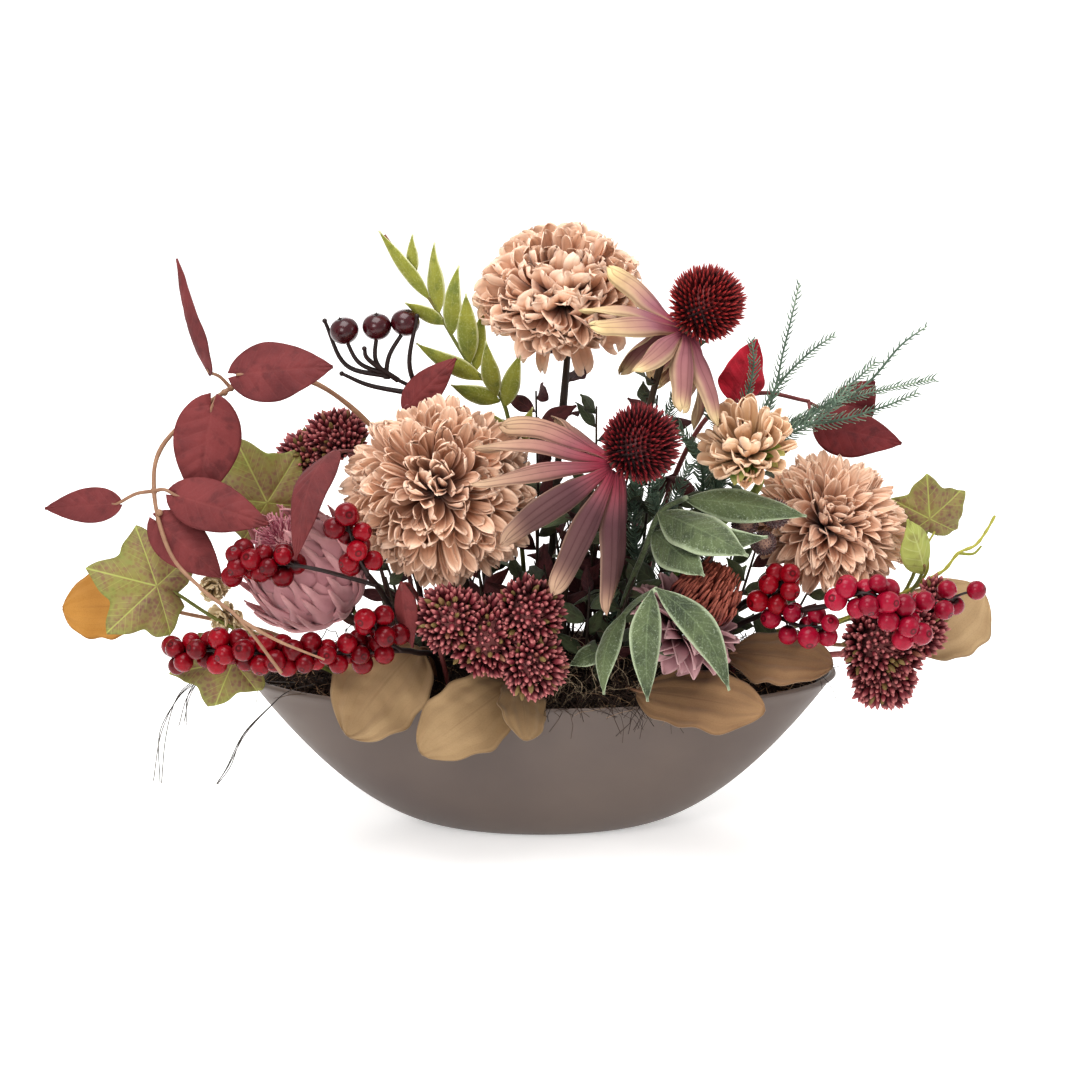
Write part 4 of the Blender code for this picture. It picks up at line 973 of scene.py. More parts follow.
def makeSedum(name, stem, umbels):
    heads = Bundle().cane(stem, 1.5, 1.5, tone=0.1)
    bud = spindle([(0.05, -1), (0.6, -0.75), (1, -0.15), (0.95, 0.3), (0.6, 0.75), (0.25, 1.0), (0.04, 1.1)],
                  7)
    for number, (centre, radius, axis) in enumerate(umbels):
        axis, centre = unit(axis), np.array(centre, float)
        turn = turnTo(axis).T
        count = int((radius / sedumBud["spacing"]) ** 2 * 6.2)
        local = fanOut(count, sedumBud["cap"]) + noiseTable((count, 3), 0.05)
        dome = local * np.where(local[:, 2:] > 0, [[1, 1, 0.85]], [[1, 1, 0.55]])
        spots = centre + dome @ turn * (radius - 1.6) * (1 + noiseTable((count, 1), 0.11))
        root = centre - axis * radius * 0.45
        t = np.linspace(0, 1, 5)[:, None]
        bow = ((dome * [1, 1, 0]) @ turn)[:, None] * radius * 0.22 * np.sin(t * math.pi)
        heads.tubes(root * (1 - t) + spots[:, None] * t + bow, 0.42, 4, rng.uniform(0.0, 0.5, count))
        aim = unit(unit(spots - root) + noiseTable((count, 3), 0.25))
        size = (1 + noiseTable((count, 1), 0.22)) * sedumBud["size"]
        heads.stamps(bud, turnsTo(aim), spots, size, rng.uniform(0, 1, count))
        heads.stamp(ball(8, 16), axis, centre - axis * radius * 0.1, radius * np.array([0.66, 0.66, 0.5]),
                    0.0)
        if number:
            start = np.array(umbels[0][0]) - unit(umbels[0][2]) * 8
            heads.cane([start, start * 0.5 + root * 0.5 - axis * 2, root, centre], 1.2, 1.2, 6, 0.1, 6)
    heads.build(name + "_buds", sedumFinish, [name], slot="sedum")


for name, sedum in sedums.items():
    makeSedum(name, **sedum)
print("sedum made")

# Berries: glossy beads packed round dark twigs
sprays = {  # twigs: route, number of berries, and the share of the route that stays bare
    "berry_spray_left_low": {
        "stem": [(-48, -30, 42), (-50, -34, 94), (-60, -56, 108), (-70, -78, 116)],
        "twigs": [([(-66, -72, 114), (-99, -86, 117), (-124, -88, 117), (-150, -84, 118), (-176, -74, 112)],
                   38, 0.08),
                  ([(-66, -72, 114), (-74, -84, 124), (-79, -88, 138)], 8, 0.08)]},
    "berry_spray_left_high": {
        "stem": [(-60, -28, 42), (-64, -32, 100), (-74, -64, 138), (-80, -88, 156)],
        "twigs": [([(-80, -88, 156), (-84, -95, 168), (-90, -95, 188)], 10, 0.08),
                  ([(-77, -78, 148), (-104, -86, 158), (-122, -84, 160), (-144, -80, 160)], 16, 0.55)]},
    "berry_spray_right_front": {
        "stem": [(84, -22, 42), (88, -26, 100), (106, -42, 122), (119, -62, 130), (136, -78, 138)],
        "twigs": [([(136, -78, 138), (150, -88, 147), (163, -88, 140), (175, -86, 126)], 17, 0.08),
                  ([(150, -88, 147), (180, -78, 138), (203, -60, 139)], 9, 0.08),
                  ([(112, -52, 126), (124, -68, 125), (138, -72, 126)], 9, 0.08)]},
    "berry_spray_right_inner": {
        "stem": [(80, -14, 42), (86, -18, 100), (99, -34, 126), (106, -56, 134)],
        "twigs": [([(106, -56, 134), (112, -62, 140), (118, -60, 149)], 9, 0.08)]}}
berrySize = {"radius": 5.3, "offset": 5.6, "turn": math.radians(137.5)}
redBerryFinish = newFinish("crimson_berry", berryRecipe("5A020E", "90061C", "2E0608"),
                           {"Coat Weight": 0.12, "Coat Roughness": 0.1, "Specular IOR Level": 0.22})
pinkBerryFinish = newFinish("raspberry_berry", berryRecipe("7C0A26", "A21836", "2E0608"),
                            {"Coat Weight": 0.12, "Coat Roughness": 0.12, "Specular IOR Level": 0.22})
darkBerryFinish = newFinish("black_cherry", berryRecipe("2A060C", "4E0E18", "140A08"),
                            {"Coat Weight": 0.4, "Coat Roughness": 0.08, "Specular IOR Level": 0.35})
darkTwigFinish = newFinish("dark_twig", plainRecipe("160B0A", "341A16", grain=260, roughFrom=0.4))
beadShape = ball(12, 18, 0.10)


def makeSpray(name, stem, twigs):
    wood, beads = Bundle().cane(stem, 1.4, 1.4, tone=0.3), Bundle()
    for points, count, bare in twigs:
        wood.cane(points, 1.2, 0.6, 7)
        route = smoothRoute(points)
        for k in range(count):
            spot, ahead = along(route, bare + (1 - bare) * (k + 0.7) / count)
            side = unit(np.cross(ahead, [0, 0, 1.0]))
            over = np.cross(side, ahead)
            turn = k * berrySize["turn"] + rng.uniform(-0.25, 0.25)
            away = side * math.cos(turn) + over * math.sin(turn) + ahead * rng.uniform(-0.1, 0.5)
            size = berrySize["radius"] * rng.uniform(0.82, 1.06)
            centre = spot + unit(away) * berrySize["offset"] * rng.uniform(0.9, 1.25)
            beads.stamps(beadShape, turnsTo(np.array([away])), [centre], [size], [rng.uniform(0, 1)])
            bend = spot * 0.6 + centre * 0.4 - ahead * 0.8
            wood.tubes([[spot - ahead * 2.5, bend, centre]], 0.55, 5, 0.5)
    finish = pinkBerryFinish if name == "berry_spray_right_front" else redBerryFinish
    beads.build(name + "_beads", finish, [name], slot="berry")
    wood.build(name + "_twigs", darkTwigFinish, [name], slot="berry")


for name, spray in sprays.items():
    makeSpray(name, **spray)

darkTwigs = {
    "stems": [[(-38, 16, 71), (-40, 16, 150), (-54, 8, 214), (-76, 5, 233)],
              [(-54.6, 7.8, 214), (-64, 2, 236), (-60, 0, 262)],
              [(-74, 5.6, 231), (-96, 10, 236), (-106, 10, 258)],
              [(-62, 7, 222), (-84, 8, 226), (-98, 8, 232)], [(-70, 6, 229), (-84, 2, 240), (-86, 0, 246)]],
    "berries": [(-96, 5, 251), (-80, 5, 253), (-66, 5, 255)]}


def makeDarkBerries(stems, berries):
    wood, beads = Bundle(), Bundle()
    for points in stems:
        wood.cane(points, 1.5, 0.9)
        wood.stamp(beadShape, (0, 0, 1), points[-1], 1.25, 0.3)
    for k, (x, y, z) in enumerate(berries):
        wood.cane([(-75 - 0.6 * k, 5.3, 232 - k), ((-76 + x) / 2 - 3, y, z - 13), (x, y, z)], 1.3, 1.0)
        up = unit([(x + 80) * 0.02, -0.25, 1.0])
        centre = np.array((x, y, z + 3))
        beads.stamp(ball(18, 28, 0.06), up, centre, [7.2, 7.2, 6.6], 0.5)
        star = spindle([(0.3, -0.6), (1.6, 0.1), (0.5, 0.5), (0.1, 1.4)], 10, squash=0.5, lobes=5)
        wood.stamp(star, up, centre + up * 6.3, tone=0.5)
    beads.build("dark_berries", darkBerryFinish, ["dark_berry_branch"], slot="dark_berry")
    wood.build("dark_berry_twigs", darkTwigFinish, ["dark_berry_branch"], slot="dark_berry")


makeDarkBerries(**darkTwigs)

# Seed pods: fuzzy round heads, each with a ring of scales at its tip
pods = {"stem": [(66, -10, 71), (72, -14, 120), (88, -36, 158), (97, -46, 168)], "hairs": 150,
        "heads": [((98, -47, 170), 6.5), ((112, -52, 176), 7.0), ((107, -50, 161), 6.0)]}
podFinish = newFinish("fuzzy_pod", plainRecipe("3E2426", "7A5654", tip="A08070", tipFrom=0.8, grain=300,
                                               roughFrom=0.8), {"Sheen Weight": 0.5})


def makePods(stem, hairs, heads):
    made = Bundle().cane(stem, 1.3, 1.3, tone=0.1)
    axis = (0.1, -0.9, 0.3)
    for centre, size in heads:
        centre = np.array(centre, float)
        made.cane([(95, -45, 166), (centre + (95, -45, 166)) / 2 + (0, 0, 1), centre], 1.1, 1.1, 6, 0.1, 5)
        made.stamp(ball(10, 18), axis, centre, size * 0.9, 0.1)
        local = fanOut(hairs, 165)
        hair = spindle([(1, 0), (0.85, 0.5), (0.15, 1)], 4)
        aim = unit(local + [0, 0, 0.35]) @ turnTo(axis).T
        long = size * 0.26 * np.where(local[:, 2] > 0.86, 0.45, 1.0)
        sizes = np.stack([np.full(hairs, 0.55), np.full(hairs, 0.55), long], axis=1)
        spots = centre + local @ turnTo(axis).T * size * 0.84
        made.stamps(hair, turnsTo(aim), spots, sizes, rng.uniform(0, 1, hairs))
    made.build("seed_pod_heads", podFinish, ["seed_pods"], slot="pod")


makePods(**pods)
print("berries and pods made")


# Leaves: curved cloth sheets with a folded midrib, wavy edges and raised veins
def bladeOutline(gather, power):
    return lambda u: np.sin(math.pi * u ** gather) ** power


ovate, squarish, lance = bladeOutline(0.66, 0.85), bladeOutline(1.02, 0.56), bladeOutline(0.8, 1.05)


def bladeFrame(base, tip, face):
    # length, and the directions along the blade, across it and out of its face
    reach = np.asarray(tip, float) - base
    ahead = unit(reach)
    side = unit(np.cross(ahead, face))
    return np.linalg.norm(reach), ahead, side, np.cross(side, ahead)


def leafSheet(base, tip, face, width, outline=ovate, arch=0.06, cup=0.12, heart=0.0, wave=0.04, relief=0.012,
              veins=7.0,
              slant=1.5, curl=0.0, sway=0.0, twist=0.0, rows=31, cols=17, fan=0.0, rag=0.0):
    length, ahead, side, up = bladeFrame(base, tip, face)
    u = np.linspace(0, 1, rows)[:, None]
    v = np.linspace(-1, 1, cols)
    half = np.maximum(width / 2 * outline(np.clip(u, 0.002, 0.998)), 0.5)
    phase = rng.uniform(0, 6.28, 3)
    half = half * (1 + rag * (0.5 * np.sin(u * 8 + phase[2] + np.sign(v) * 1.3) + 0.3
                              * np.sin(u * 23 + phase[1] + v)))
    ripple = wave * width * (np.sin(u * 11 + phase[0] + v) * 0.6 + np.sin(u * 19 + phase[1]) * 0.25)
    ripple = ripple * np.abs(v) ** 1.5 * np.sin(math.pi * u)
    vein = np.cos(2 * math.pi * (u * veins - np.abs(v) * slant)) * relief * width * np.sin(math.pi
                                                                                           * np.abs(v)) ** 0.5
    groove = -0.03 * width * np.exp(-(v / 0.10) ** 2) * np.sin(math.pi * np.clip(u * 0.9, 0, 1))
    fold = -cup * half * np.abs(v) ** 1.15
    lift = arch * length * 4 * u * (1 - u) + fold + ripple + vein + groove + curl * length * u ** 4
    lift = lift + fan * width * np.cos(v * 13) * np.sin(math.pi * u) ** 0.5 * 0.02
    c, s = np.cos(twist * u), np.sin(twist * u)
    sideways = half * v * c + sway * length * np.sin(math.pi * u) - lift * s
    rise = lift + half * v * s
    forward = u * length - heart * length * np.abs(v) ** 1.4 * (1 - u) ** 3
    points = base + ahead * forward[..., None] + side * sideways[..., None] + up * rise[..., None]
    return points[None], marksOf(points, v, u, rng.uniform(0, 1))[None]


def clothLeaf(name, dark, light, vein, mottle, constants=None, **look):
    return newFinish(name, leafRecipe(dark, light, vein, mottle, **look), constants)


velvet = {"Sheen Weight": 0.2}
burgundyFinish = clothLeaf("burgundy_leaf_cloth", "581E20", "743030", "8A4642", "4C181A", slant=1.6,
                           veinShare=0.14)
redLeafFinish = clothLeaf("wine_leaf_cloth", "56141A", "78282A", "8C3A36", "3E0A10", slant=1.6,
                          veinShare=0.16)
crimsonFinish = clothLeaf("crimson_leaf_cloth", "8E0E22", "B81C34", "C83C48", "6A0818", veins=6,
                          veinShare=0.2)
vineFinish = newFinish("tan_vine", plainRecipe("6E4A36", "A88468", grain=200))
petioleFinish = newFinish("burgundy_stalk", plainRecipe("5A2428", "8A4844", grain=200))
brownTanFinish = newFinish("brown_felt", feltRecipe("7A5C40", "A6845E", "5C4028"), velvet)
tanFinish = newFinish("tan_felt", feltRecipe("8C7250", "B69A74", "684E32"), velvet)
mustardFinish = newFinish("mustard_felt", feltRecipe("84561C", "AE7C36", "6E4414"), velvet)
sageFinish = clothLeaf("sage_velvet", "333E28", "5C6844", "86966E", "2A3420", {"Sheen Weight": 0.25}, veins=9,
                       slant=1.3, felt=0.6, veinShare=0.3, edge="B4C09E", edgeShare=0.8, frost="BCC8B0")
limeFinish = clothLeaf("lime_leaf_cloth", "6C7626", "969638", "A8AA5C", "525E20", velvet, veinShare=0.25,
                       edge="DCDCB0", edgeShare=0.9, frost="D8DAA8")
ivyFinish = newFinish("ivy_cloth", ivyRecipe)
ivyLeafFinish = clothLeaf("ivy_young_cloth", "8E9C4A", "A8AC5E", "C9CE8E", "7A6A44", veins=6, veinShare=0.5)
greenStalkFinish = newFinish("green_stalk", plainRecipe("4C5426", "8A8C48", tip="8A5A44", tipFrom=0.7,
                                                        grain=200))

vine = {
    "stem": [(-44, 4, 71), (-50, -2, 130), (-62, -8, 180), (-83, -14, 211), (-107, -24, 233),
             (-128, -32, 238),
             (-147, -38, 234), (-177, -50, 211), (-182, -60, 189), (-173, -76, 163), (-156, -88, 148),
             (-138, -101, 138), (-119, -107, 114)],
    "tail": [(-138, -101, 138), (-120, -108, 130), (-99, -108, 121)],
    "leaves": {  # petiole's start, petiole's end, tip, face, width, and how the blade lies
        "vine_leaf_top": ((-147, -38, 234), (-157, -39, 242), (-165, -33, 296), (-0.9, -0.45, 0.1), 19,
                          {"arch": 0.12, "cup": 0.35, "curl": 0.12, "heart": 0.05}),
        "vine_leaf_heart": ((-142, -37, 236), (-142, -51, 243), (-97, -52, 247), (0.1, -0.9, 0.45), 29,
                            {"arch": 0.05, "heart": 0.12, "cup": 0.16}),
        "vine_leaf_round": ((-150, -39, 232), (-155, -48, 227), (-162, -55, 182), (0.1, -0.97, 0.2), 32,
                            {"arch": 0.06, "heart": 0.16, "cup": 0.14}),
        "vine_leaf_middle": ((-182, -60, 189), (-172, -63, 188), (-127, -72, 176), (0.0, -0.9, 0.4), 25,
                             {"arch": 0.05, "heart": 0.10, "cup": 0.18}),
        "vine_leaf_far": ((-182, -60, 189), (-200, -56, 182), (-236, -50, 178), (0, -0.95, 0.3), 17,
                          {"arch": 0.03, "heart": 0.08}),
        "vine_leaf_low": ((-179, -66, 180), (-180, -66, 176), (-150, -72, 150), (0.25, -0.95, 0.2), 24,
                          {"arch": 0.06, "heart": 0.12, "cup": 0.2})}}


def makeVine(stem, tail, leaves):
    route = smoothRoute(stem, 9)
    knots = np.arange(len(route)) * 0.9
    cane = Bundle().tubes([route], np.linspace(1.5, 0.8, len(route)) * (1 + 0.06 * np.sin(knots)), 10, 0.5)
    cane.cane(tail, 1.0, 0.5, tone=0.6)
    for name, (start, end, tip, face, width, shape) in leaves.items():
        start, end, tip = (np.array(p, float) for p in (start, end, tip))
        ahead = unit(tip - end)
        cane.cane([start, (start + end) / 2 + (0, 0, 1.6), end, end + ahead * 3], 1.0, 0.6, tone=0.35,
                  steps=6)
        cane.stamp(beadShape, end - start, start, 1.7)
        leaf = Bundle().sheets(*leafSheet(end + ahead * 0.7, tip, face, width, wave=0.05, rows=37, cols=19,
                                          **shape))
        leaf.build(name + "_cloth", burgundyFinish, [name], thickness=0.5, slot="burgundy_fabric")
    cane.build("vine_cane", vineFinish, ["vine_stem"], slot="stem")


makeVine(**vine)

# Single leaves on stalks that are planted in the moss
leafKinds = {  # outline, finish, stalk's finish, slot, and how every blade of the kind lies
    "burgundy": (ovate, burgundyFinish, petioleFinish, "burgundy_fabric", {}),
    "hanging": (lance, burgundyFinish, petioleFinish, "burgundy_fabric", {}),
    "young": (lance, ivyLeafFinish, greenStalkFinish, "ivy_fabric", {})}
for name, finish in (("tan", tanFinish), ("brown", brownTanFinish), ("mustard", mustardFinish)):
    leafKinds[name] = squarish, finish, vineFinish, "tan_fabric", {"cup": 0.05, "fan": 1.0, "rag": 0.13,
                                                                   "relief": 0.004}
stalkedLeaves = {  # kind, stalk, tip, face, width, shape
    "curled_leaf": ("burgundy", [(-58, -2, 71), (-68, 4, 140), (-86, -14, 192), (-98, -44, 204)],
                    (-113, -92, 164),
                    (-0.5, -0.5, 0.7), 19, {"arch": 0.16, "cup": 0.35, "twist": 0.5}),
    "back_leaf": ("burgundy", [(-24, 12, 71), (-32, 14, 150), (-56, 2, 208), (-66, -2, 216)], (-41, -4, 242),
                  (-0.3, -0.9, 0.2), 18, {"cup": 0.25}),
    "hanging_leaf": ("hanging", [(-42, -34, 71), (-50, -50, 112), (-60, -66, 142), (-65, -74, 147)],
                     (-60, -80, 118),
                     (-0.2, -0.97, 0), 11, {"cup": 0.4}),
    "ivy_leaf_right_low": ("young", [(96, -8, 71), (124, -10, 98), (176, -22, 124), (187, -32, 142)],
                           (177, -40, 170),
                           (0.5, -0.8, 0.2), 20, {"cup": 0.3}),
    "tan_leaf_front_left": ("tan", [(-50, -24, 71), (-54, -34, 100), (-60, -42, 105)], (-93, -64, 68),
                            (-0.2, -0.75, 0.6), 50, {"arch": 0.08, "wave": 0.07}),
    "tan_leaf_front": ("tan", [(-8, -40, 71), (-10, -46, 88), (-14, -56, 91)], (-57, -82, 66),
                       (0.15, -0.85, 0.5), 38, {"arch": 0.10, "wave": 0.06}),
    "tan_leaf_under_protea": ("brown", [(36, -38, 71), (40, -46, 86), (48, -56, 88)], (106, -86, 88),
                              (0.0, -0.6, 0.8), 38, {"arch": 0.03, "wave": 0.07}),
    "tan_leaf_front_right": ("brown", [(84, -28, 71), (86, -38, 92), (93, -46, 104)], (140, -66, 104),
                             (0.0, -0.5, 0.86), 36, {"arch": 0.04, "wave": 0.08}),
    "tan_leaf_far_right": ("tan", [(100, 4, 71), (126, 4, 92), (170, -4, 94), (188, -10, 96)],
                           (219, -16, 128),
                           (0.15, -0.93, 0.3), 44, {"arch": 0.04, "wave": 0.08}),
    "tan_leaf_far_left": ("mustard", [(-94, 2, 71), (-130, 0, 98), (-176, -18, 116), (-196, -24, 122)],
                          (-236, -22, 120), (0.05, -0.93, 0.35), 34, {"arch": 0.04, "wave": 0.08}),
    "tan_leaf_back_left": ("tan", [(-46, 34, 71), (-48, 42, 90), (-52, 52, 92)], (-78, 84, 74),
                           (-0.1, 0.6, 0.8), 40, {"arch": 0.10, "wave": 0.07}),
    "tan_leaf_back_right": ("tan", [(34, 36, 71), (34, 44, 90), (38, 54, 93)], (62, 88, 72),
                            (0.1, 0.6, 0.8), 42, {"arch": 0.10, "wave": 0.07})}
secondBlade = {"tan_leaf_front": ((-12, -54, 92.5), (-7, -84, 73), (0.45, -0.75, 0.45), 26)}


def makeStalkedLeaf(name, kind, stalk, tip, face, width, shape):
    outline, finish, stalkFinish, slot, lie = leafKinds[kind]
    foot = np.array(stalk[-1], float)
    ahead = unit(tip - foot)
    leaf = Bundle()
    blades = [(foot - ahead * 1.5, tip, face, width)]
    if name in secondBlade:
        blades.append(secondBlade[name])
    for blade in blades:
        leaf.sheets(*leafSheet(*blade, outline, rows=37, cols=19, **shape, **lie))
    leaf.build(name + "_cloth", finish, [name], thickness=0.6, slot=slot)
    Bundle().cane([*stalk, foot + ahead * 5], 1.3, 0.7, tone=0.5).build(name + "_stalk", stalkFinish, [name],
                                                                        slot=slot)


for name, leaf in stalkedLeaves.items():
    makeStalkedLeaf(name, *leaf)

# The burgundy branch at the right
redBranch = {
    "stem": [(46, 18, 71), (60, 24, 150), (82, 26, 203), (109, 32, 217), (137, 37, 212)],
    "leaves": {
        "red_leaf_low": ((136.5, 37, 212), (137, 26, 203), (182, 20, 194), (0, -0.85, 0.5), 27,
                         redLeafFinish, {"cup": 0.2, "wave": 0.07}),
        "red_leaf_high": ((135, 36.7, 212.4), (154, 42, 202), (170, 40, 222), (-0.3, -0.9, 0.2), 22,
                          redLeafFinish, {"cup": 0.3, "wave": 0.07}),
        "crimson_leaf": ((92, 28, 209), (98, 26, 213), (108, 28, 246), (0.3, -0.95, 0), 24,
                         crimsonFinish, {"cup": 0.2, "wave": 0.14, "curl": 0.05})}}


def makeRedBranch(stem, leaves):
    cane = Bundle().cane(stem, 1.6, 1.0, 9, steps=9)
    for name, (start, end, tip, face, width, finish, shape) in leaves.items():
        start, end, tip = (np.array(p, float) for p in (start, end, tip))
        ahead = unit(tip - end)
        cane.cane([start, (start + end) / 2, end, end + ahead * 3], 0.9, 0.9, 7, 0.5, 6)
        leaf = Bundle().sheets(*leafSheet(end + ahead * 0.7, tip, face, width, arch=0.04, **shape))
        leaf.build(name + "_cloth", finish, [name], thickness=0.5, slot="burgundy_fabric")
    cane.build("red_leaf_cane", petioleFinish, ["red_leaf_branch"], slot="burgundy_fabric")


makeRedBranch(**redBranch)

# Ivy: lobed blades worked out in polar steps round the foot of the midrib
ivyLobes = ((0, 1.0), (29, 0.68), (58, 0.90), (90, 0.62), (122, 0.68), (160, 0.46), (180, 0.32))
ivyLeaves = {  # stalk, tip, face, width
    "ivy_leaf_left": ([(-82, -14, 71), (-104, -24, 98), (-146, -46, 116), (-176, -54, 138)], (-216, -60, 151),
                      (0.1, -0.9, 0.45), 52),
    "ivy_leaf_upper": ([(-80, 8, 71), (-98, 4, 118), (-124, -10, 150), (-131, -12, 163)], (-150, -6, 203),
                       (0.1, -0.9, 0.35), 48),
    "ivy_leaf_lower": ([(-90, -16, 71), (-104, -34, 92), (-128, -52, 104), (-140, -58, 104)],
                       (-179, -64, 100),
                       (0.1, -0.8, 0.6), 36),
    "ivy_leaf_right": ([(92, 10, 71), (120, 10, 98), (178, 8, 112), (195, 6, 155)], (193, 6, 182),
                       (0.15, -0.95, 0.2), 40)}


def ivySheet(base, tip, face, width):
    length, ahead, side, up = bladeFrame(base, tip, face)
    stretch = width / 2 / (0.86 * math.sin(math.radians(58)))
    turn = np.linspace(-math.pi, math.pi, 181)
    degree = np.degrees(np.abs(turn))
    share = np.zeros(181)
    for (low, first), (high, second) in zip(ivyLobes, ivyLobes[1:]):
        t = (degree - low) / (high - low)
        inside = (t >= 0) & (t <= 1)
        s = np.clip(t if first > second else 1 - t, 0, 1)
        share[inside] = (min(first, second) + abs(first - second) * (1 - s) ** 1.45)[inside]
    levels = np.linspace(0, 1, 25)[:, None]
    wobble = 1 + 0.03 * np.sin(turn * 7 + rng.uniform(0, 6)) + 0.02 * np.sin(turn * 13)
    radius = share * wobble * levels
    forward, outward = 0.72 * length * radius * np.cos(turn), stretch * radius * np.sin(turn)
    fold = np.zeros_like(forward)
    for angle in (-122, -58, 0, 58, 122):
        c, s = math.cos(math.radians(angle)), math.sin(math.radians(angle))
        off = np.abs(outward * c - forward * s)
        fold -= np.exp(-(off / 1.6) ** 2) * np.clip((outward * s + forward * c) / 6, 0, 1) * 0.8
    wave = 0.035 * length * np.sin(turn * 5 + rng.uniform(0, 6)) * levels ** 2
    lift = 0.07 * length * (1 - levels ** 2) + fold + wave - 0.10 * length * (outward / stretch) ** 2
    points = base + ahead * (length * 0.28 + forward)[..., None] + side * outward[..., None] + up * lift[...,
                                                                                                         None]
    return points[None], marksOf(points, outward, forward, rng.uniform(0, 1))[None], levels


def makeIvy(name, stalk, tip, face, width):
    foot = np.array(stalk[-1], float)
    ahead = unit(tip - foot)
    blade = Bundle().sheets(*ivySheet(foot - ahead * 5, tip, face, width))
    blade.build(name + "_cloth", ivyFinish, [name], thickness=0.5, slot="ivy_fabric")
    stalk = Bundle().cane([*stalk, foot + ahead * 6], 1.3, 0.7, tone=0.5)
    stalk.build(name + "_stalk", greenStalkFinish, [name], slot="ivy_fabric")


for name, leaf in ivyLeaves.items():
    makeIvy(name, *leaf)
print("vine, ivy and broad leaves made")

# Lamb's ear, the green sprig and the fern
lambs = {
    "lambs_ear_upper": ([(32, -10, 71), (40, -26, 120), (50, -52, 158), (57, -58, 178), (70, -52, 184)], [
        ((56, -58, 178), (96, -92, 166), (0.1, -0.75, 0.65), 24, {"arch": 0.06}),
        ((53.5, -55.5, 168), (76, -90, 156), (-0.2, -0.8, 0.5), 20, {"arch": 0.06}),
        ((52, -54, 163), (106, -80, 172), (0.0, -0.9, -0.3), 18, {"arch": 0.06}),
        ((69, -52, 183), (126, -60, 176), (0.0, -0.8, 0.6), 17, {"arch": 0.08, "curl": 0.03})]),
    "lambs_ear_lower": ([(24, -34, 71), (30, -50, 106), (42, -70, 134), (54, -88, 149)], [
        ((52, -88, 148), (50, -100, 98), (0.0, -0.97, -0.1), 15, {"arch": 0.08, "sway": 0.05, "twist": 0.3}),
        ((54.2, -88, 149), (88, -100, 104), (0.3, -0.9, 0.1), 15.5,
         {"arch": 0.08, "curl": 0.08, "sway": -0.10, "twist": -0.3}),
        ((40, -67, 131), (30, -90, 98), (-0.5, -0.85, 0), 12, {"arch": 0.10, "sway": 0.06}),
        ((31.3, -52.3, 109), (14, -64, 104), (-0.3, -0.9, 0.2), 10, {"arch": 0.06})])}
for name, (stalk, blades) in lambs.items():
    leaves = Bundle()
    for *blade, shape in blades:
        leaves.sheets(*leafSheet(*blade, lance, cup=0.38, wave=0.09, veins=9, slant=1.3, relief=0.02,
                                 **shape))
    leaves.cane(stalk, 1.3, 0.9).build(name + "_leaves", sageFinish, [name], thickness=0.7,
                                       slot="sage_fabric")

sprig = {"stem": [(-4, 16, 71), (-10, 16, 150), (-17, 13, 213), (-35, 12, 236), (-54, 12, 268),
                  (-76, 12, 300)],
         "leaves": [((-20, 13, 217), (-44, 8, 226), 9), ((-22, 13, 219), (-26, 2, 250), 9),
                    ((-35, 12, 236), (-36, 6, 273), 10), ((-50, 12, 261), (-52, 6, 297), 9),
                    ((-54, 12, 268), (-78, 9, 303), 7), ((-28, 13, 228), (-61, 9, 247), 9),
                    ((-44, 12, 250), (-40, 4, 286), 9), ((-32, 13, 232), (-28, 16, 262), 8),
                    ((-47, 12, 256), (-66, 8, 268), 7), ((-62, 12, 280), (-62, 7, 301), 6),
                    ((-18, 13, 214), (-9, 4, 243), 9), ((-14, 14, 195), (-26, 4, 214), 9),
                    ((-13, 14, 190), (-3, 4, 216), 8)]}
greens = Bundle()
for start, tip, width in sprig["leaves"]:
    greens.sheets(*leafSheet(start, tip, (-0.3, -0.95, 0.1), width * 1.1, lance, arch=rng.uniform(0.04, 0.12),
                             cup=0.3,
                             wave=0.05, twist=rng.uniform(-0.6, 0.6), curl=rng.uniform(-0.05, 0.08), rows=23,
                             cols=11))
greens.build("green_sprig_leaves", limeFinish, ["green_sprig"], thickness=0.5, slot="lime")
Bundle().cane(sprig["stem"], 1.3, 0.7).build("green_sprig_stalk", greenStalkFinish, ["green_sprig"],
                                             slot="lime")

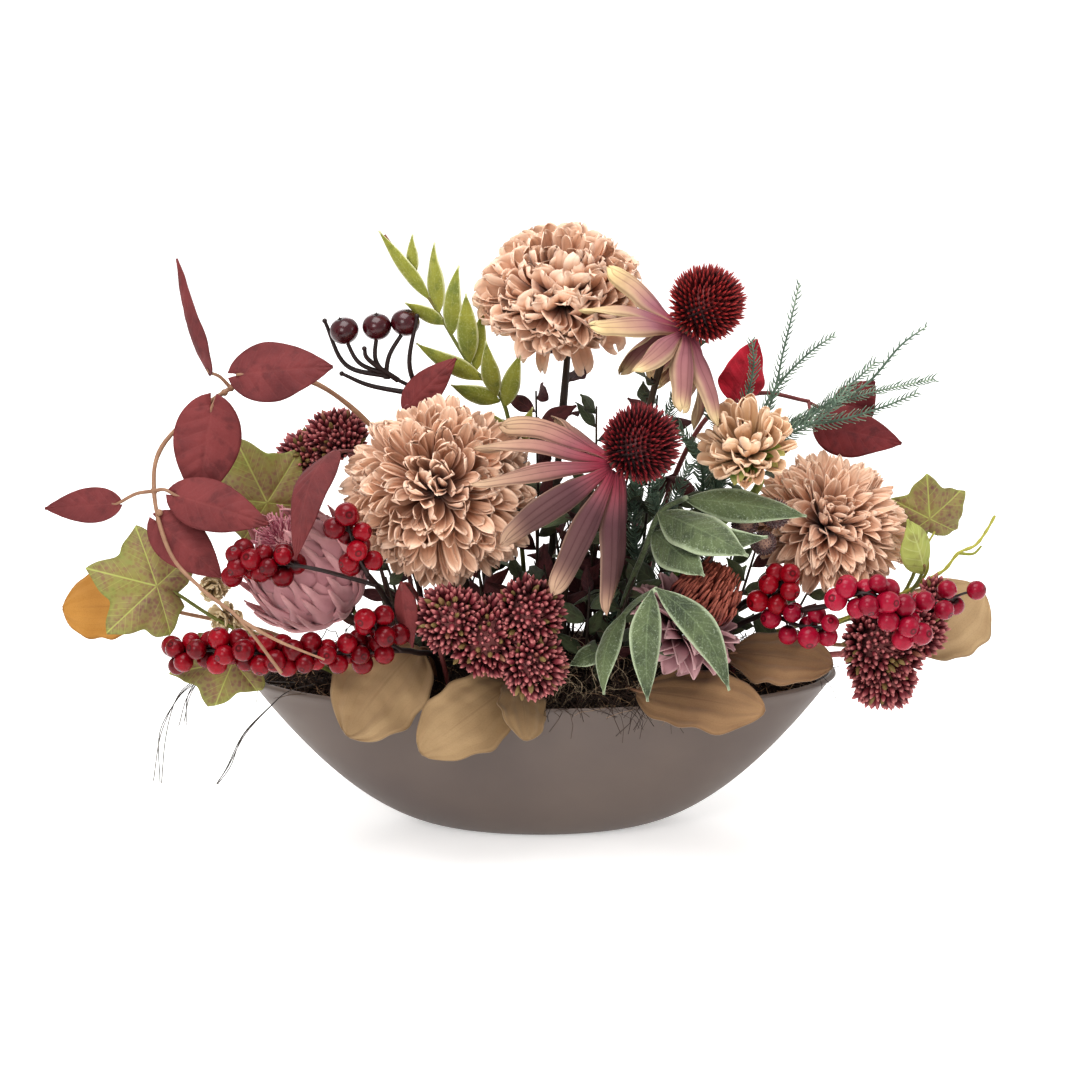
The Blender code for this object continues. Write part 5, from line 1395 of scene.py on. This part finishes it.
fern = [  # route, needles for each millimetre, needle length
    ([(58, 10, 71), (72, 8, 130), (89, 2, 180), (110, 12, 198), (137, 16, 211), (162, 20, 219),
      (197, 20, 227)], 0.5, 6),
    ([(137, 16, 211), (163, 24, 223), (180, 24, 243), (193, 24, 253)], 0.3, 4),
    ([(89, 2, 180), (112, 2, 214), (120, 4, 246), (127, 8, 277)], 0.4, 5),
    ([(110, 12, 198), (128, 8, 206), (150, 6, 224), (166, 8, 238)], 0.6, 7),
    ([(92, 4, 184), (99, -2, 212), (104, -6, 236), (103, -8, 252)], 0.6, 6),
    ([(104, 10, 196), (116, 12, 222), (132, 14, 240), (146, 16, 250)], 0.5, 6),
    ([(122, 14, 205), (146, 8, 208), (168, 2, 216), (186, 0, 224)], 0.5, 6),
    ([(52, 6, 84), (50, -8, 130), (46, -22, 170), (50, -34, 208)], 0.9, 8),
    ([(60, 2, 84), (66, -10, 130), (64, -24, 168), (72, -34, 196)], 0.9, 8),
    ([(66, 8, 84), (62, 2, 140), (58, -6, 190), (66, -10, 226)], 0.9, 8),
    ([(74, 4, 84), (82, -6, 130), (84, -16, 170), (96, -24, 196)], 0.8, 8),
    ([(44, 0, 84), (36, -14, 120), (34, -30, 150), (40, -38, 172)], 0.9, 7),
    ([(97, 6, 190), (122, -4, 204), (140, -6, 214), (152, -4, 230)], 0.6, 7),
    ([(76, 7, 140), (80, -14, 178), (76, -30, 200), (66, -34, 214)], 0.9, 8),
    ([(80, 6, 154), (88, -20, 188), (90, -30, 206), (80, -34, 224)], 0.9, 8),
    ([(70, 8, 124), (60, -20, 160), (54, -36, 184), (58, -44, 196)], 0.9, 8)]
fernFinish = newFinish("fern_needle", plainRecipe("46584A", "7E9480", tip="A0AE98", tipFrom=0.8, grain=200))


def makeFern():
    made = Bundle()
    for points, density, size in fern:
        made.cane(points, 0.9, 0.35, 6, 0.1, 10)
        route = smoothRoute(points, 10)
        count = int(stepsOf(route).sum() * density * 1.6)
        bare = 0.30 if points[0][2] < 80 else 0.06
        knots = []
        for k in range(count):
            share = bare + (1 - bare) * (k + 0.5) / count
            spot, ahead = along(route, share)
            side = unit(np.cross(ahead, [0.1, -1, 0.2]))
            turn = k * math.pi + rng.uniform(-0.75, 0.75)
            away = side * math.cos(turn) + np.cross(side, ahead) * math.sin(turn)
            long = size * rng.uniform(0.65, 1.2) * (1.0 - 0.45 * share)
            middle = spot + (ahead * 0.45 + away * 0.7) * long * 0.5
            knots.append([spot, middle, spot + (ahead * 1.15 + away * 0.95) * long * 0.8])
        made.tubes(knots, [[0.42, 0.40, 0.16]], 5)
    made.build("fern_needles", fernFinish, ["fern_sprig"], slot="fern")


makeFern()
print("sprigs and ferns made")

# Foliage that fills the middle and the back: leaves on the flower stems, sprays and wiry twigs
stemRoutes = {
    "mum_left": ([(-34, -14, 42), (-34, -14, 94), (-38, -10, 135)], (-48, -42, 186), (0.16, -0.86, 0.44), -8),
    "mum_top": ([(4, 6, 42), (4, 6, 94), (8, 16, 170)], (10.5, 20, 271), (-0.12, -0.62, 0.78), -7),
    "mum_right": ([(74, 2, 42), (74, 2, 94), (104, 10, 112)], (142, -15, 162), (0.12, -0.62, 0.78), -7),
    "mum_bud": (budStem, budShape["centre"], budShape["axis"], -6),
    "protea_right": ([(46, -30, 42), (46, -30, 94)], (70, -58, 124), (0.46, -0.35, 0.82), 14),
    "coneflower_front": ([(12, -22, 42), (12, -22, 94), (12, -26, 130)], (35, -70, 203.5),
                         (0.65, -0.357, 0.676), 8),
    "coneflower_top": ([(40, 4, 42), (40, 4, 94), (44, 4, 160)], (68.7, -31, 260), (0.56, -0.244, 0.79), 8)}
stemLeaf = {"bareStem": 56, "spacing": 15, "turn": 2.4}
stemLeafFinish = clothLeaf("stem_leaf_cloth", "2C3624", "525C3E", "707A54", "403226", velvet, veins=6,
                           slant=1.4,
                           veinShare=0.35)
duskyFinish = clothLeaf("dusky_leaf_cloth", "30121A", "5C2A2C", "7A4A40", "24100F", veins=5, slant=1.4,
                        veinShare=0.3)
barkFinish = newFinish("stem_bark", plainRecipe("241A14", "4E3C2A", grain=240, stretch=(1, 1, 0.3), bump=0.6))


def makeStemLeaves():
    leaves, stalks, canes, dusky = Bundle(), Bundle(), Bundle(), Bundle()
    spacing = stemLeaf["spacing"]
    for name, (root, centre, axis, seat) in stemRoutes.items():
        route = smoothRoute(headStem(root, centre, axis, seat), 10)
        knots = 1.8 + 0.16 * np.sin(np.arange(len(route)) * 1.3) + noiseTable(len(route), 0.08)
        canes.tubes([route], knots, 12)
        reach = stepsOf(route).sum()
        first = stemLeaf["bareStem"] / reach
        for k in range(int(reach * (1 - first) / spacing)):
            spot, ahead = along(route, first + spacing / reach * (k + 0.3))
            turn = k * stemLeaf["turn"] + len(name)
            away = np.array([math.cos(turn), math.sin(turn), 0])
            foot = spot + away * 4 + ahead * 4
            size = rng.uniform(20, 32) * (1.0 if k < 6 else 0.75)
            tip = foot + unit(away + ahead * rng.uniform(0.1, 0.9)) * size
            bend = (spot + foot) / 2 + ahead * 0.8
            stalks.cane([spot, bend, foot, foot + unit(tip - foot) * 3], 0.6, 0.6, 5, steps=3)
            made = dusky if name == "mum_top" and k > 3 else leaves
            made.sheets(*leafSheet(foot, tip, ahead + away * 0.1, size * rng.uniform(0.40, 0.55), lance,
                                   arch=rng.uniform(-0.1, 0.15), cup=0.3, wave=0.14,
                                   twist=rng.uniform(-0.7, 0.7),
                                   curl=rng.uniform(-0.2, 0.05), rows=15, cols=9))
    leaves.build("stem_leaves", stemLeafFinish, thickness=0.35, slot="sage_fabric")
    dusky.build("stem_leaves_dusky", duskyFinish, thickness=0.35, slot="burgundy_fabric")
    stalks.build("stem_leaf_stalks", twigFinish, slot="stem")
    stems = [name + "_stem" for name in ("mum_left", "mum_top", "mum_right", "coneflower_front",
                                         "coneflower_top",
                                         "protea_right")]
    canes.build("flower_canes", barkFinish, stems, slot="stem")


makeStemLeaves()

leafySprays = (  # foot in the moss, top, leaf length, share of burgundy leaves
    ((-22, 8), (-16, 2, 206), 20, 0.9), ((-4, 14), (-2, 14, 222), 19, 0.85),
               ((22, 12), (28, 6, 216), 20, 0.6),
    ((18, -2), (24, -14, 170), 18, 0.2), ((34, 2), (46, -8, 196), 18, 0.1),
               ((44, 10), (58, 4, 222), 16, 0.15),
    ((56, -4), (68, -22, 176), 18, 0.1), ((70, 8), (86, 0, 200), 16, 0.3),
               ((-30, -14), (-30, -26, 140), 16, 0.6),
    ((-12, -14), (-10, -34, 142), 16, 0.4), ((4, -18), (2, -36, 146), 17, 0.3),
               ((24, -22), (24, -46, 138), 17, 0.3),
    ((40, -18), (46, -42, 142), 16, 0.1), ((-46, 10), (-56, 14, 158), 16, 0.5),
               ((-66, -6), (-76, -22, 136), 15, 0.6),
    ((-84, 6), (-100, 12, 146), 16, 0.3), ((90, 8), (112, 14, 150), 16, 0.3),
               ((110, -4), (134, -14, 128), 15, 0.2),
    ((8, 26), (4, 34, 168), 18, 0.3), ((-26, 26), (-34, 38, 152), 18, 0.3),
               ((44, 26), (52, 38, 158), 18, 0.3),
    ((84, 24), (100, 34, 138), 16, 0.2), ((-68, 24), (-84, 34, 142), 16, 0.4))


def makeLeafySprays():
    stems, greens, reds = Bundle(), Bundle(), Bundle()
    for foot, top, size, redShare in leafySprays:
        root, top = np.array([*foot, 80.0]), np.array(top, float)
        middle = (root + top) / 2 + rng.normal(0, 4, 3)
        route = smoothRoute([root, middle, top], 12)
        stems.cane([root, middle, top], 1.1, 0.5, 7, rng.uniform(0, 0.6), 12)
        count = int(np.linalg.norm(top - root) / 8.5)
        for k in range(count):
            share = 0.2 + 0.8 * (k + 0.5) / count
            spot, ahead = along(route, share)
            turn = k * stemLeaf["turn"] + rng.uniform(-0.4, 0.4)
            away = unit([math.cos(turn), math.sin(turn) * 0.8, 0.1])
            long = size * rng.uniform(0.9, 1.4) * (1.15 - 0.3 * share)
            start = spot + away * 1.2
            tip = start + unit(away + ahead * rng.uniform(0.1, 1.0)) * long
            stems.tubes([[spot, start, start + unit(tip - start) * 2]], 0.45, 5, 0.3)
            made = reds if rng.uniform(0, 1) < redShare else greens
            made.sheets(*leafSheet(start, tip, ahead * 0.4 + [0, -1, 0.2], long * rng.uniform(0.34, 0.5),
                                   lance,
                                   arch=rng.uniform(-0.08, 0.14), cup=0.35, wave=0.12, relief=0,
                                   twist=rng.uniform(-0.9, 0.9), curl=rng.uniform(-0.25, 0.05), rows=13,
                                   cols=7))
    stems.build("spray_stems", barkFinish, slot="stem")
    greens.build("spray_leaves_green", stemLeafFinish, thickness=0.35, slot="sage_fabric")
    reds.build("spray_leaves_burgundy", duskyFinish, thickness=0.35, slot="burgundy_fabric")


makeLeafySprays()

twigs = {"count": 40, "thick": 0.8, "height": (108, 190)}


def makeTwigs(count, thick, height):
    made, tufts = Bundle(), []
    for k in range(count):
        x, y = rng.uniform(-84, 108), rng.uniform(-26, 34)
        high = rng.uniform(*height) - abs(x - 8) * 0.18
        root = np.array([x * 0.82, y * 0.8, 80])
        top = np.array([x + rng.normal(0, 10), y + rng.normal(0, 8), high])
        points = [root, root * 0.5 + top * 0.5 + [*rng.normal(0, 4, 2), 0], top]
        made.cane(points, thick * 1.3, 0.3, 6, rng.uniform(0, 1), 9)
        route = smoothRoute(points, 9)
        for side in range(3):
            spot, ahead = along(route, rng.uniform(0.3, 1.0))
            away = unit([*rng.normal(0, 1, 2), 0.4])
            tufts.append([spot, spot + (away + ahead) * 3.5, spot + (away * 1.2 + ahead) * 7])
    made.tubes(tufts, [[0.5, 0.42, 0.3]], 5, rng.uniform(0.4, 1.0, len(tufts)))
    made.build("wiry_twigs", twigFinish, slot="stem")


makeTwigs(**twigs)

# Loose threads that hang past the rim, and the yellow-green tendril
threads = [[(-120, -42, 88), (-140, -50, 92), (-158, -54, 95), (-169, -55, 91), (-177, -55, 83),
            (-184, -55, 65),
            (-187, -55, 41)],
           [(-110, -44, 88), (-122, -56, 88), (-130, -60, 82), (-143, -60, 67), (-151, -60, 52),
            (-158, -60, 41)],
           [(-122, -42, 86), (-146, -52, 92), (-162, -55, 94), (-170, -55, 86), (-174, -55, 71)]]
tendril = {"stem": [(98, -2, 82), (120, -6, 96), (160, -20, 118), (186, -26, 133), (193, -25, 137),
                    (199, -25, 141),
                    (205, -25, 149), (213, -25, 153), (218, -25, 160), (222, -25, 168)],
           "arms": [[(186, -26, 133), (190, -27, 142), (189, -26, 152), (193, -25, 160)],
                    [(205, -25, 149), (212, -26, 149), (216, -26, 153)]]}
threadFinish = newFinish("loose_thread", plainRecipe("1E1814", "4A4038", grain=500))
tendrilFinish = newFinish("tendril_green", plainRecipe("84862E", "A8A44A", grain=200))


def makeLooseBits():
    made, green = Bundle(), Bundle()
    for points in threads:
        for k in range(3):
            shifted = np.array(points, float)
            loose = len(points) - 2
            shifted[2:] += noiseTable((loose, 3), 1.3) * np.linspace(0.3, 1.6, loose)[:, None]
            made.tubes([smoothRoute(shifted)], 0.24, 5)
    made.build("loose_threads", threadFinish, slot="moss")
    route = smoothRoute(tendril["stem"])
    knots = np.arange(len(route)) * 1.1
    green.tubes([route], np.linspace(1.0, 0.7, len(route)) * (1 + 0.18 * np.sin(knots)), 7)
    for points in tendril["arms"]:
        green.cane(points, 0.8, 0.5, 6, rng.uniform(0, 1))
    green.build("tendril_curls", tendrilFinish, slot="ivy_fabric")


makeLooseBits()

# Dried cream blossoms beside the vine
driedSprig = {"stalk": [(-96, -8, 78), (-124, -24, 100), (-150, -40, 120), (-164, -42, 149)],
              "heads": [((-152, -43, 122), (-0.3, -0.8, -0.5), 9), ((-158, -44, 137), (0.4, -0.9, 0.1), 7),
                        ((-165, -43, 152), (-0.2, -0.7, 0.7), 8)]}
driedFinish = newFinish("dried_cream_cloth", petalRecipe("8A6E48", "CCB48A", "E2D0AA", "EADCBC", "6E5436",
                                                         rimShare=0.3))


def makeDriedSprig(stalk, heads):
    blooms = Bundle().cane(stalk, 1.0, 0.6, 7, 0.3)
    for centre, axis, radius in heads:
        blooms.sheets(*packPetals(axis, centre, radius, radius * 0.9, radius * 0.6, 26, 120, 5, ruffle=0.15,
                                  notch=0.2,
                                  chaos=1.4))
    blooms.build("dried_blossoms", driedFinish, thickness=0.25, slot="tan_fabric")


makeDriedSprig(**driedSprig)
print("filling foliage and loose bits made")
